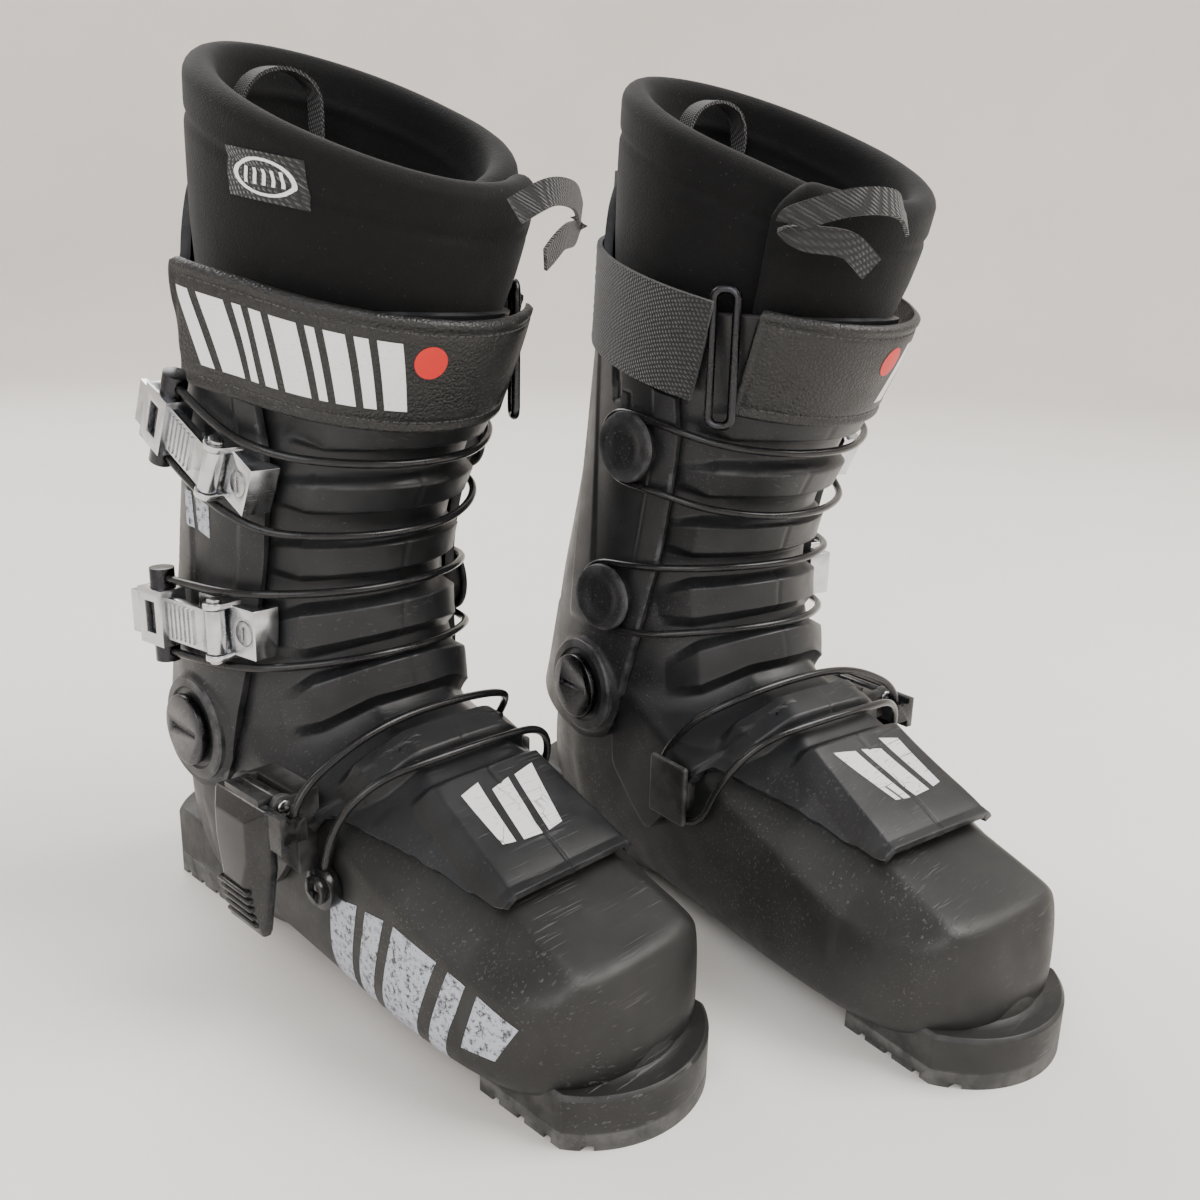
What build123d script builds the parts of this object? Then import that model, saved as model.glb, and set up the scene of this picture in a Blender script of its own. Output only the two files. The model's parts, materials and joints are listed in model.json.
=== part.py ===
from build123d import *
import math
import os

# A pair of three-piece alpine ski boots: a low shell, a cuff that turns on it at the ankle, a ribbed
# tongue over the front, a wrapped foam liner, three cable buckles and a strap round the shin.
# One boot is built in its own frame and mirrored for the other. In that frame X points to the inner
# side of the foot, Y to the heel, Z up, and the middle of the sole's length is at Y = 0.

# ---- driving dimensions, millimetres ----
SOLE_LENGTH = 275.0
LUG_WIDTH = 69.0
TOE_RADIUS = 41.5
TOE_LUG_HEIGHT = 19.0
HEEL_LUG_HEIGHT = 30.0
TOE_PLATE = 6.0
HEEL_PLATE = 10.0
PLATE_LENGTH = 56.0
HALF_SOLE = SOLE_LENGTH / 2

WALL = 3.5
GAP = 0.6
LINER_WALL = 8.0
TOE_PADDING = 5.0
LINER_FLOOR = 7.0

# Insets from the cuff's outer face, from the outside in.
TONGUE_LEVEL = WALL + GAP
SHELL_LEVEL = TONGUE_LEVEL + WALL + GAP / 2
LINER_LEVEL = SHELL_LEVEL + WALL + GAP
RIB_HEIGHT = 4.2
RIB_HALF_WIDTH = 5.6
RIB_REACH = 34.0

PIVOT_Y = 58.0
PIVOT_Z = 92.0
PIVOT_R = 8.0
PIVOT_FACE = 55.8
RUNNING = 0.08

FLOOR_TOE = 12.0
FLOOR_HEEL = 18.0
BOARD_THICK = 6.5
RAMP_START = 80.0
SHELL_TOP = 124.0
RIM_REAR = (80.0, 339.0)
RIM_FRONT = (-57.0, 279.0)

STRAP_WIDTH = 41.0
STRAP_TILT = 0.26
STRAP_FRONT = (-40.0, 203.0)
STRAP_INNER = -0.7
STRAP_OUTER = -3.3
RING_WIRE = 1.6

CABLE_R = 1.5
PIN_R = 1.5
LEVER_BORE = PIN_R + 0.06

# In a buckle's own frame X runs from the hinge to the barrel, Y along the pin, Z outward.
HINGE_V = -14.0
HINGE_U = 6.0
BARREL_V = 17.5
BARREL_U = 5.2
BARREL_R = 4.4
BARREL_HALF = 17.5
STRAND_W = 13.8
BASE_TOP = 1.8
BASE_SCREW_V = -24.0
BASE_SCREW_DEPTH = 8.5
CATCH_R = 10.6

# Catches on the cuff's inner side: Y and Z.
ANKLE_CATCH = (44.0, 134.0)
TOP_CATCH = (32.0, 196.0)

# The instep buckle hangs from a pin along Y on the shell's outer side.
INSTEP_PIN = (-59.0, 4.0, 85.0)
INSTEP_HALF = 14.0
ANCHOR_IN = (-43.6, -18.5, 55.0)
ANCHOR_OUT = (-52.8, -18.5, 55.0)
INSTEP_EAR = 11.2

# The left boot is the mirrored right one, turned about Z and moved; then the pair is centred.
LEFT_PLACE = (129.5, -73.4)
LEFT_TURN = -10.0
PAIR_SHIFT = (-69.6, 35.97)

# Leg sections at the cuff's outer face: height, rear, front, half width.
LEG = [
    (4.0, 133.0, 10.0, 40.0),
    (30.0, 138.5, 2.0, 47.0),
    (60.0, 134.5, -2.0, 52.0),
    (90.0, 125.0, -9.0, 54.0),
    (112.0, 119.0, -7.0, 53.5),
    (132.0, 113.5, 0.0, 52.0),
    (150.0, 108.5, 1.0, 50.8),
    (170.0, 103.5, -3.0, 50.2),
    (190.0, 99.5, -12.0, 50.5),
    (215.0, 95.5, -25.0, 52.0),
    (240.0, 92.0, -37.0, 54.0),
    (254.0, 90.7, -42.0, 55.0),
    (270.0, 89.5, -47.0, 56.0),
    (285.0, 88.5, -50.5, 56.8),
    (300.0, 87.5, -53.5, 57.5),
    (315.0, 86.7, -55.8, 57.9),
    (330.0, 85.9, -57.9, 58.2),
    (345.0, 85.0, -60.0, 58.5),
]

# Foot sections at the shell's outer face: Y, half width, bottom, top.
FOOT = [
    (-132.0, 17.0, 25.0, 35.0),
    (-129.0, 27.5, 17.0, 44.0),
    (-121.0, 35.5, 11.0, 52.5),
    (-106.0, 41.0, 5.0, 60.0),
    (-84.0, 45.0, 3.0, 65.0),
    (-58.0, 47.5, 3.0, 77.0),
    (-28.0, 47.5, 3.0, 94.0),
    (5.0, 46.0, 3.0, 109.0),
    (45.0, 43.0, 3.0, 114.0),
    (75.0, 40.0, 3.0, 104.0),
]
SECTION_POINTS = 20
SECTION_POWER = 0.72

# Side outlines as (Y, Z) points.
TONGUE_SIDE = [
    (-88, 50), (-60, 62), (-30, 77), (0, 92), (30, 105), (43, 118),
    (43, 150), (33, 205), (24, 238), (-88, 264),
]
CUFF_SIDE = [
    (150, 86), (100, 76), (60, 67), (45, 71), (37, 84), (31, 112), (27, 140), (21, 170), (13, 200),
    (11, 216), (30, 222), (50, 238), (64, 260), (74, 284), (83, 303), (150, 303),
]
TONGUE_PLAN = [
    (-27, -88), (27, -88), (34, -50), (44, -15), (70, 10), (70, 60), (-70, 60), (-70, 10), (-44, -15), (-34, -50),
]
THROAT_PLAN = [(-20, -72), (20, -72), (28, -20), (30, 34), (-30, 34), (-28, -20)]

# Tongue ribs: Y and Z of the middle, and the rib's slope in degrees.
RIBS = [(-27, 101, 60), (-6, 118, 38), (0, 138, 4), (-1, 161, -8), (-9, 184, -24)]

# Cable routes from the buckle, round the tongue and the catch on the inner side, and back.
ANKLE_ROUTE = [
    (-58.5, 64.7, 149.3), (-55.2, 38, 149.4), (-47.5, 22.5, 149.8), (-36, 10, 150.2), (-14, 0.5, 150),
    (14, 0.5, 150.5), (36, 11, 150), (49.5, 27, 148.8), (55, 57, 147.2), (55.6, 57, 120.8),
    (50.6, 26, 121.4), (37.5, 11, 124.2), (14, -2.4, 126.2), (-14, -2.4, 126), (-38, 12, 123.6),
    (-50, 27, 122), (-56, 45, 121.7), (-58.5, 64.7, 121.7),
]
TOP_ROUTE = [
    (-56.4, 48.8, 219.6), (-56.9, 25, 208), (-49, 5.5, 201), (-36, -5.5, 198), (-14, -16.5, 196.3),
    (14, -16.5, 196.6), (36, -5, 199), (50, 10.5, 204.5), (55, 45.5, 211.5), (54.3, 45.5, 182.8),
    (49.5, 19.5, 180), (37, 5.5, 174.5), (14, -5.2, 171), (-14, -5.2, 170.4), (-37, 5.5, 171.4),
    (-49, 17, 173.8), (-56.5, 38, 183.4), (-56.2, 60.9, 194.8),
]
INSTEP_ROUTE = [
    (-60.2, -16.2, 78), (-59.6, -16.6, 90.5), (-36, -17, 103), (-14, -18, 108.2), (14, -18, 108),
    (36, -14, 103.4), (47, -3, 93.5), (48.8, 11.4, 74), (48.8, 11.2, 53.6), (49, -14, 53.4),
    (50.5, -25, 77), (38.5, -33, 94), (14, -37.6, 98.2), (-14, -37.6, 98.4), (-38.5, -31.5, 94.6),
    (-50.8, -23.5, 78), (-50.1, -19.3, 59.9),
]


def leg_form(inset):
    """Solid of the leg, inset from the cuff's outer face by inset(height) or a fixed distance."""
    rings = []
    for z, rear, front, half in LEG:
        d = inset(z) if callable(inset) else inset
        place = Plane(origin=(0, (rear + front) / 2, z))
        rings.append((place * Ellipse(half - d, (rear - front) / 2 - d)).wire())
    return Solid.make_loft(rings)


def foot_form(inset):
    """Solid of the foot, inset from the shell's outer face; its sections are rounded boxes."""
    rings = []
    for y, half, low, high in FOOT:
        bottom = low + inset
        top = high - inset * 1.1
        middle = (bottom + top) / 2
        rise = (top - bottom) / 2
        end_share = max(0.0, min(1.0, (-100 - y) / 30))
        points = []
        for step in range(SECTION_POINTS):
            angle = 2 * math.pi * step / SECTION_POINTS
            across = math.copysign(abs(math.cos(angle)) ** SECTION_POWER, math.cos(angle))
            along = math.copysign(abs(math.sin(angle)) ** SECTION_POWER, math.sin(angle))
            points.append(((half - inset) * across, y + inset * end_share, middle + rise * along))
        rings.append(Wire([Spline(*points, periodic=True)]))
    return Solid.make_loft(rings)


def side_prism(outline, half=120.0):
    """Prism along X over an outline of (Y, Z) points."""
    face = Plane.YZ * make_face(Polyline(*outline, close=True))
    return extrude(face, amount=half, both=True)


def plan_prism(outline, low=-10.0, high=400.0):
    """Prism along Z over an outline of (X, Y) points."""
    face = Plane.XY.offset(low) * make_face(Polyline(*outline, close=True))
    return extrude(face, amount=high - low)


def leg_at(z):
    """Rear, front and half width of the cuff's outer face at a height."""
    for low, high in zip(LEG, LEG[1:]):
        if z <= high[0]:
            share = (z - low[0]) / (high[0] - low[0])
            return [a + (b - a) * share for a, b in zip(low[1:], high[1:])]
    return list(LEG[-1][1:])


def skin_plane(y, z, side, tilt=0.0, level=0.0):
    """Plane on the leg's face: local Z outward, local X towards the heel, turned by tilt degrees."""
    rear, front, half = leg_at(z)
    centre, depth, width = (rear + front) / 2, (rear - front) / 2 - level, half - level
    x = side * width * math.sqrt(max(0.01, 1 - ((y - centre) / depth) ** 2))
    outward = Vector(x / width**2, (y - centre) / depth**2, 0).normalized()
    level_heelward = Vector(-outward.Y, outward.X, 0) * side
    heelward = level_heelward * math.cos(math.radians(tilt)) + Vector(0, 0, math.sin(math.radians(tilt)))
    return Plane(origin=(x, y, z), x_dir=heelward, z_dir=outward)


def block(x0, x1, y0, y1, z0, z1):
    """Box between two corners."""
    return Pos((x0 + x1) / 2, (y0 + y1) / 2, (z0 + z1) / 2) * Box(x1 - x0, y1 - y0, z1 - z0)


def rod(start, end, radius):
    """Round bar between two points."""
    a, b = Vector(*start), Vector(*end)
    return extrude(Plane(origin=a, z_dir=b - a) * Circle(radius), amount=(b - a).length)


def biggest(shape):
    """The largest solid of a shape, which drops crumbs that a cut leaves."""
    return max(shape.solids(), key=lambda s: s.volume)


# ---- the two reference forms of one boot ----


def body_form(leg_inset, foot_inset):
    """Leg and foot forms joined."""
    return leg_form(leg_inset) + foot_form(foot_inset)


# The liner fills the shell low down and swells above it, out to the tongue and cuff.
LINER_INSETS = [
    (60.0, LINER_LEVEL + 0.8), (132.0, LINER_LEVEL), (150.0, 9.9), (170.0, 8.4),
    (254.0, 8.2), (270.0, 6.8), (285.0, 5.6), (400.0, 5.0),
]


def liner_inset(z):
    """Inset of the liner's outer face at one of the leg's section heights."""
    for limit, inset in LINER_INSETS:
        if z <= limit:
            return inset
    return LINER_INSETS[-1][1]


# ---- sole ----


def sole_outline(front, inset=0.0):
    """Plan of a sole lug: straight sides and a round end; front is -1 at the toe and 1 at the heel."""
    half = LUG_WIDTH / 2 - inset
    radius = TOE_RADIUS - inset
    end = HALF_SOLE - inset
    corner = end - radius + math.sqrt(radius**2 - half**2)
    inner = HALF_SOLE - PLATE_LENGTH
    line = Line((half, front * inner), (half, front * corner))
    arc = ThreePointArc((half, front * corner), (0, front * end), (-half, front * corner))
    back = Polyline((-half, front * corner), (-half, front * inner), (half, front * inner))
    return make_face([line, arc, back])


def sole_screw_places():
    """X, Y and top of each sole screw."""
    places = []
    for x in (-21, 21):
        for y in (-112, -91):
            places.append((x, y, 11.0))
        for y in (93, 117):
            places.append((x, y, 16.5))
    return places


def sole_plate(front, thick):
    """Grip plate with cross grooves and counterbored screw holes."""
    plate = extrude(sole_outline(front), amount=thick)
    for step in range(4):
        y = front * (HALF_SOLE - 12 - 12 * step)
        plate -= block(-50, 50, y - 1.5, y + 1.5, -1, 1.8)
    for x, y, _ in sole_screw_places():
        if y * front > 0:
            plate -= rod((x, y, -1), (x, y, 3.4), 4.2)
            plate -= rod((x, y, 3), (x, y, thick + 1), 2.1)
    return plate


def sole_screws():
    """Eight plate screws as separate solids."""
    screws = []
    for x, y, top in sole_screw_places():
        screw = rod((x, y, 1.0), (x, y, 3.4), 4.0) + rod((x, y, 3.4), (x, y, top), 2.05)
        screws.append(screw - Pos(x, y, 1.0) * Box(1.2, 5.5, 1.6))
    return screws


# ---- lower shell, board, liner and footbed ----


def floor_prism(lift, top=400.0):
    """Space above the ramped floor of the shell."""
    return side_prism(
        [
            (-150, FLOOR_TOE + lift), (-RAMP_START, FLOOR_TOE + lift), (RAMP_START, FLOOR_HEEL + lift),
            (150, FLOOR_HEEL + lift), (150, top), (-150, top),
        ]
    )


def instep_hook():
    """Catch moulded on the shell's inner side: a stem that the cable goes round, under a wide lip."""
    stem = block(38, 51.5, -8, 9, 56, 76)
    stem = fillet(stem.edges().filter_by(Axis.X), 7.5)
    lip = block(51.5, 54.5, -10, 11, 53.5, 78)
    lip = fillet(lip.edges().filter_by(Axis.X), 8)
    return stem + lip


def lower_shell(cavity):
    """Clog with toe and heel lugs, open along the instep and at the ankle."""
    outer = body_form(SHELL_LEVEL, 0.0)
    outer += extrude(Plane.XY.offset(TOE_PLATE) * sole_outline(-1), amount=TOE_LUG_HEIGHT - TOE_PLATE)
    outer += extrude(Plane.XY.offset(TOE_LUG_HEIGHT) * sole_outline(-1, 9.5), amount=9)
    outer += extrude(Plane.XY.offset(HEEL_PLATE) * sole_outline(1), amount=HEEL_LUG_HEIGHT - HEEL_PLATE)
    outer += instep_hook()
    shell = outer - (cavity & floor_prism(0.0))
    shell -= plan_prism(THROAT_PLAN, low=45)
    shell -= block(-150, 150, -150, 200, SHELL_TOP, 400)
    shell -= block(-80, 80, 60, 160, SHELL_TOP - 8, 400)
    shell -= block(-60, 60, -160, -HALF_SOLE + PLATE_LENGTH, -5, TOE_PLATE)
    shell -= block(-60, 60, HALF_SOLE - PLATE_LENGTH, 160, -5, HEEL_PLATE)
    shell -= rod((-60, PIVOT_Y, PIVOT_Z), (60, PIVOT_Y, PIVOT_Z), PIVOT_R + 0.02)
    for x, y, top in sole_screw_places():
        shell -= rod((x, y, 0), (x, y, top + 0.2), 2.1)
    shell -= rod(ANCHOR_IN, ANCHOR_OUT, 3.02)
    return biggest(shell)


def boot_board(cavity):
    """Ramped board on the shell's floor."""
    top = floor_prism(BOARD_THICK)
    return biggest((cavity & floor_prism(0.2)) - top)


def under_floor(lift):
    """Space below the ramped floor of the shell."""
    return side_prism(
        [
            (-150, FLOOR_TOE + lift), (-RAMP_START, FLOOR_TOE + lift), (RAMP_START, FLOOR_HEEL + lift),
            (150, FLOOR_HEEL + lift), (150, -50), (-150, -50),
        ]
    )


def liner():
    """Thick foam bootie, open at a sloping rim."""
    (y1, z1), (y2, z2) = RIM_REAR, RIM_FRONT
    slope = (z1 - z2) / (y1 - y2)
    above_rim = side_prism(
        [(-160, 500), (160, 500), (160, z1 + slope * (160 - y1)), (-160, z2 + slope * (-160 - y2))]
    )
    low = BOARD_THICK + 0.3
    outer = body_form(liner_inset, WALL + GAP) - under_floor(low) - above_rim
    inner = body_form(lambda z: liner_inset(z) + LINER_WALL, WALL + GAP + TOE_PADDING)
    return biggest(outer - (inner - under_floor(low + LINER_FLOOR)))


def footbed():
    """Insole on the liner's floor."""
    low = BOARD_THICK + 0.3 + LINER_FLOOR + 0.2
    inner = body_form(LINER_LEVEL + LINER_WALL + 0.8, WALL + GAP + TOE_PADDING + 1.4)
    return biggest(inner - under_floor(low) - floor_prism(low + 3.5))


def pull_loops():
    """Two webbing loops at the liner's rim, one inside the back and one outside the front."""
    def half_ring(radius, thick, width):
        ring = extrude(Circle(radius) - Circle(radius - thick), amount=width / 2, both=True)
        return biggest(ring & block(-60, 60, 0, 60, -20, 20))

    rear = Plane(origin=(-4, 58.0, 322), x_dir=(1, 0, 0), z_dir=(0, -1, 0)) * half_ring(19, 1.6, 11)
    front_place = skin_plane(-38, 262, 1, level=5.0)
    out = front_place.z_dir
    side = Vector(-out.Y, out.X, 0)
    origin = front_place.origin + out * 3.2
    front = Plane(origin=origin, x_dir=side, z_dir=side.cross(out)) * half_ring(15, 1.6, 11)
    return [rear, front]


# ---- tongue ----


def rib_slab(y, z, slope):
    """Slab across the tongue's front profile; its faces are square to the profile."""
    a = math.radians(slope)
    out = Vector(-math.cos(a), math.sin(a))
    up = Vector(math.sin(a), math.cos(a))
    corners = [
        Vector(y, z) + out * reach + up * rise
        for reach, rise in (
            (-34, -RIB_HALF_WIDTH - 1), (-34, RIB_HALF_WIDTH + 1), (16, RIB_HALF_WIDTH - 1), (16, -RIB_HALF_WIDTH + 1),
        )
    ]
    return side_prism([(c.X, c.Y) for c in corners], RIB_REACH)


def tongue():
    """Ribbed tongue from the lip over the toe box up to the shin."""
    inner = body_form(TONGUE_LEVEL + WALL, -GAP)
    outer = body_form(TONGUE_LEVEL, -GAP - WALL)
    crest = body_form(TONGUE_LEVEL - RIB_HEIGHT, -GAP - WALL - RIB_HEIGHT) - inner
    shape = outer - inner
    for y, z, slope in RIBS:
        shape += crest & rib_slab(y, z, slope)
    shape = shape & side_prism(TONGUE_SIDE)
    return biggest(shape & plan_prism(TONGUE_PLAN))


# ---- cuff and what is on it ----


def catch(y, z):
    """Round catch on the cuff's inner side for a cable's far bend."""
    place = skin_plane(y, z, 1)
    stem = place * (Pos(0, 0, -0.5) * Cylinder(CATCH_R, 11))
    lip = place * (Pos(0, 0, 6.0) * Cylinder(CATCH_R + 3, 2.4))
    return stem + lip


def cuff(outer, inner):
    """Collar round the back and sides of the leg, with pivot bosses and two catches."""
    shape = (outer - inner) & side_prism(CUFF_SIDE)
    for side in (-1, 1):
        boss = rod((side * 46, PIVOT_Y, PIVOT_Z), (side * PIVOT_FACE, PIVOT_Y, PIVOT_Z), 19)
        shape += boss - inner
    shape += catch(*ANKLE_CATCH) - inner
    shape += catch(*TOP_CATCH) - inner
    shape -= rod((-70, PIVOT_Y, PIVOT_Z), (70, PIVOT_Y, PIVOT_Z), PIVOT_R + RUNNING)
    for start, end in cuff_screw_lines():
        shape -= rod(start, end, 2.02)
    return biggest(shape)


def cuff_pivots():
    """Left and right pivot bolts, fixed in the shell, with wide slotted heads."""
    bolts = []
    for side in (-1, 1):
        shaft = rod((side * 43.2, PIVOT_Y, PIVOT_Z), (side * (PIVOT_FACE + 0.4), PIVOT_Y, PIVOT_Z), PIVOT_R)
        head = rod((side * (PIVOT_FACE + 0.3), PIVOT_Y, PIVOT_Z), (side * (PIVOT_FACE + 3.3), PIVOT_Y, PIVOT_Z), 13.5)
        slot = Pos(side * (PIVOT_FACE + 3.3), PIVOT_Y, PIVOT_Z) * Box(2.4, 17, 2.2)
        bolts.append(shaft + head - slot)
    return bolts


def spoiler():
    """Spine plate up the back of the cuff."""
    plate = leg_form(-3.2) - leg_form(-0.15)
    region = side_prism([(60, 196), (150, 196), (150, 299), (60, 299)], 24)
    plate = biggest(plate & region)
    for start, end in spine_screw_lines():
        plate -= rod(start, end, 2.02)
        plate -= rod(end, (end[0], end[1] + 6, end[2]), 4.6)
    return biggest(plate)


def spine_screw_lines():
    """Inner and outer end of each spine screw's shank."""
    lines = []
    for z in (214, 280):
        rear, _, _ = leg_at(z)
        lines.append(((0, rear - WALL - 0.2, z), (0, rear + 1.6, z)))
    return lines


def cuff_screw_lines():
    """Shank ends of every screw that goes into the cuff."""
    lines = spine_screw_lines()
    for place in (ANKLE_PLACE, TOP_PLACE):
        lines.append(
            (
                tuple(place.from_local_coords((BASE_SCREW_V, 0, -BASE_SCREW_DEPTH))),
                tuple(place.from_local_coords((BASE_SCREW_V, 0, BASE_TOP - 1.2))),
            )
        )
    return lines


def cuff_screws():
    """Spine screws and buckle base screws as separate solids."""
    screws = []
    for start, end in cuff_screw_lines():
        a, b = Vector(*start), Vector(*end)
        out = (b - a).normalized()
        head_end = b + out * 1.4
        screw = rod(start, end, 2.0) + rod(end, tuple(head_end), 4.4)
        driver = Plane(origin=head_end, z_dir=out) * Box(1.1, 5.0, 1.4)
        screws.append(screw - driver)
    return screws


def band(inner_level, outer_level, low_offset=0.0, width=STRAP_WIDTH):
    """Tilted band round the leg between two levels."""
    y0, z0 = STRAP_FRONT
    low = [(y, z0 + low_offset + STRAP_TILT * (y - y0)) for y in (-120, 160)]
    high = [(y, z + width) for y, z in reversed(low)]
    return (leg_form(outer_level) - leg_form(inner_level)) & side_prism(low + high)


def power_strap():
    """Leather-faced strap from the ring, round the front, to its free end on the outer side."""
    region = plan_prism([(0, 20), (62, -33.5), (100, -130), (-130, -130), (-130, 63), (-10, 63)])
    return biggest(band(STRAP_INNER, STRAP_OUTER) & region)


def strap_webbing():
    """Webbing from the cuff's back to the ring."""
    region = plan_prism([(4, 22), (80, -18), (140, 0), (140, 130), (40, 130)])
    return biggest(band(STRAP_INNER, STRAP_INNER - 2.0, 1.5, STRAP_WIDTH - 3) & region)


def strap_ring():
    """Rectangular wire ring that joins the webbing and the strap."""
    y = -9.0
    z = STRAP_FRONT[1] + STRAP_TILT * (y - STRAP_FRONT[0]) + STRAP_WIDTH / 2
    place = skin_plane(y, z, 1, level=-2.6)
    path = place * RectangleRounded(8.5, STRAP_WIDTH + 6, 3.5).wire()
    start = path @ 0
    return sweep(Plane(origin=start, z_dir=path % 0) * Circle(RING_WIRE), path=path)


# ---- buckles ----

ANKLE_PLACE = skin_plane(49.0, 135.5, -1, 0.0)
TOP_PLACE = skin_plane(40.0, 200.0, -1, 26.0)


def across(place, v, u, half, radius):
    """Bar along a buckle's pin direction."""
    start = place.from_local_coords((v, -half, u))
    end = place.from_local_coords((v, half, u))
    return rod(tuple(start), tuple(end), radius)


def buckle_base(place, skin):
    """Plate with two ears that hold the hinge pin; its underside follows the cuff."""
    plate = place * block(-30, -17, -9, 9, -9, BASE_TOP)
    plate += place * block(-18, 1, -10.5, 10.5, -9, BASE_TOP)
    for side in (-1, 1):
        y0, y1 = sorted((side * 8.3, side * 10.5))
        plate += place * block(HINGE_V - 4, HINGE_V + 4, y0, y1, -2, HINGE_U)
        ear = place * (Pos(HINGE_V, side * 9.4, HINGE_U) * Rot(90, 0, 0) * Cylinder(4, 2.2))
        plate += ear
    plate -= across(place, HINGE_V, HINGE_U, 20, PIN_R + 0.01)
    plate -= rod(
        tuple(place.from_local_coords((BASE_SCREW_V, 0, -12))), tuple(place.from_local_coords((BASE_SCREW_V, 0, 9))), 2.02
    )
    plate -= rod(
        tuple(place.from_local_coords((BASE_SCREW_V, 0, BASE_TOP - 1.2))),
        tuple(place.from_local_coords((BASE_SCREW_V, 0, 9))),
        4.5,
    )
    return biggest(plate - skin)


def buckle_pin(place):
    """Hinge pin with two small heads."""
    pin = across(place, HINGE_V, HINGE_U, 10.6, PIN_R)
    for side in (-1, 1):
        start = place.from_local_coords((HINGE_V, side * 10.6, HINGE_U))
        end = place.from_local_coords((HINGE_V, side * 11.8, HINGE_U))
        pin += rod(tuple(start), tuple(end), 2.6)
    return pin


def buckle_lever(place):
    """Lever with a serrated arm and a housing round the barrel."""
    hub = across(place, HINGE_V, HINGE_U, 7.8, 3.4)
    arm = place * block(HINGE_V, BARREL_V, -7.8, 7.8, HINGE_U - 0.6, HINGE_U + 2.6)
    for step in range(6):
        v = HINGE_V + 9 + 2.6 * step
        arm += place * block(v, v + 1.3, -6.5, 6.5, HINGE_U + 2.4, HINGE_U + 3.4)
    housing = place * block(BARREL_V - 7, BARREL_V + 7, -10.5, 10.5, BARREL_U - 4.4, BARREL_U + 6)
    tail = place * block(BARREL_V + 5, BARREL_V + 13, -8, 8, BARREL_U + 2.4, BARREL_U + 5)
    lever = hub + arm + housing + tail
    lever -= across(place, HINGE_V, HINGE_U, 20, LEVER_BORE)
    lever -= across(place, BARREL_V, BARREL_U, 30, BARREL_R + RUNNING)
    lever -= place * block(BARREL_V - 3, BARREL_V + 3, -6, 6, BARREL_U + 3, BARREL_U + 8)
    return biggest(lever)


def buckle_barrel(place):
    """Ringed adjusting barrel with a side hole for each cable end."""
    barrel = across(place, BARREL_V, BARREL_U, BARREL_HALF, BARREL_R)
    for side in (-1, 1):
        start = place.from_local_coords((BARREL_V + 0.5, side * STRAND_W, BARREL_U))
        end = place.from_local_coords((BARREL_V - 9, side * STRAND_W, BARREL_U))
        barrel -= rod(tuple(start), tuple(end), CABLE_R + 0.35)
    return biggest(barrel)


def instep_base(skin):
    """Bracket with two ears on the shell's outer side."""
    x, y, z = INSTEP_PIN
    body = block(x + 5, -45.2, y - INSTEP_HALF, y + INSTEP_HALF, 58, z + 3)
    for side in (-1, 1):
        y0, y1 = sorted((y + side * INSTEP_EAR, y + side * INSTEP_HALF))
        body += block(x, x + 6, y0, y1, z - 9, z + 3)
        body += rod((x, y0, z), (x, y1, z), 4)
    body -= rod((x, y - 30, z), (x, y + 30, z), PIN_R + 0.01)
    return biggest(body - skin)


def instep_pin():
    """Hinge pin of the instep buckle."""
    x, y, z = INSTEP_PIN
    pin = rod((x, y - INSTEP_HALF - 0.1, z), (x, y + INSTEP_HALF + 0.1, z), PIN_R)
    for side in (-1, 1):
        start = (x, y + side * (INSTEP_HALF + 0.1), z)
        pin += rod(start, (x, y + side * (INSTEP_HALF + 1.3), z), 2.6)
    return pin


def instep_lever():
    """Long moulded lever with grip bars at its free end and the cable's socket at its front edge."""
    x, y, z = INSTEP_PIN
    hub = rod((x, y - 10.8, z), (x, y + 10.8, z), 3.4)
    outline = [
        (y - 16, z + 1), (y + 16, z + 1), (y + 17, z - 14), (y + 12, z - 47), (y - 10, z - 47), (y - 16, z - 20),
    ]
    lever = hub + (side_prism(outline) & block(x - 7.5, x - 4.4, -60, 60, 0, 200))
    lever += block(x - 7.5, x - 2.2, y - 10.8, y + 10.8, z - 12, z + 3.4)
    for step in range(5):
        low = z - 45 + 3.4 * step
        lever += block(x - 9, x - 7, y - 8.5, y + 10, low, low + 1.8)
    lever += block(x - 7.5, x - 4.4, y - 24, y - 10, z - 12, z + 1)
    lever += block(x - 5, x + 2.6, y - 24, y - 16, z - 9, z - 1)
    lever -= rod((x, y - 30, z), (x, y + 30, z), LEVER_BORE)
    lever -= rod((x - 1.2, y - 20.2, z - 7.5), (x - 1.2, y - 20.2, z + 6), CABLE_R + 0.35)
    return biggest(lever)


def instep_anchor():
    """Bolt and washer that hold the cable's fixed end."""
    x0, y, z = ANCHOR_IN
    x1 = ANCHOR_OUT[0]
    washer = rod((x1 + 4.8, y, z), (x1 + 0.6, y, z), 7.6) - rod((x1 + 6, y, z), (x1, y, z), 3.02)
    washer -= rod(INSTEP_ROUTE[-1], INSTEP_ROUTE[-2], CABLE_R + 0.03)
    bolt = rod(ANCHOR_IN, (x1 + 0.6, y, z), 3.0) + rod((x1 + 0.6, y, z), (x1 - 1.6, y, z), 5.2)
    bolt -= Pos(x1 - 1.6, y, z) * Box(2.4, 1.4, 5)
    bolt -= Pos(x1 - 1.6, y, z) * Box(2.4, 5, 1.4)
    return [bolt, biggest(washer)]


# ---- cables ----


def corner_radii(points):
    """Arc for each corner: 0.45 of the shorter run over the tangent of half the turn."""
    radii = []
    for a, b, c in zip(points, points[1:], points[2:]):
        before, after = Vector(*b) - Vector(*a), Vector(*c) - Vector(*b)
        turn = math.radians(before.get_angle(after))
        radii.append(0.45 * min(before.length, after.length) / math.tan(turn / 2))
    return radii


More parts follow.
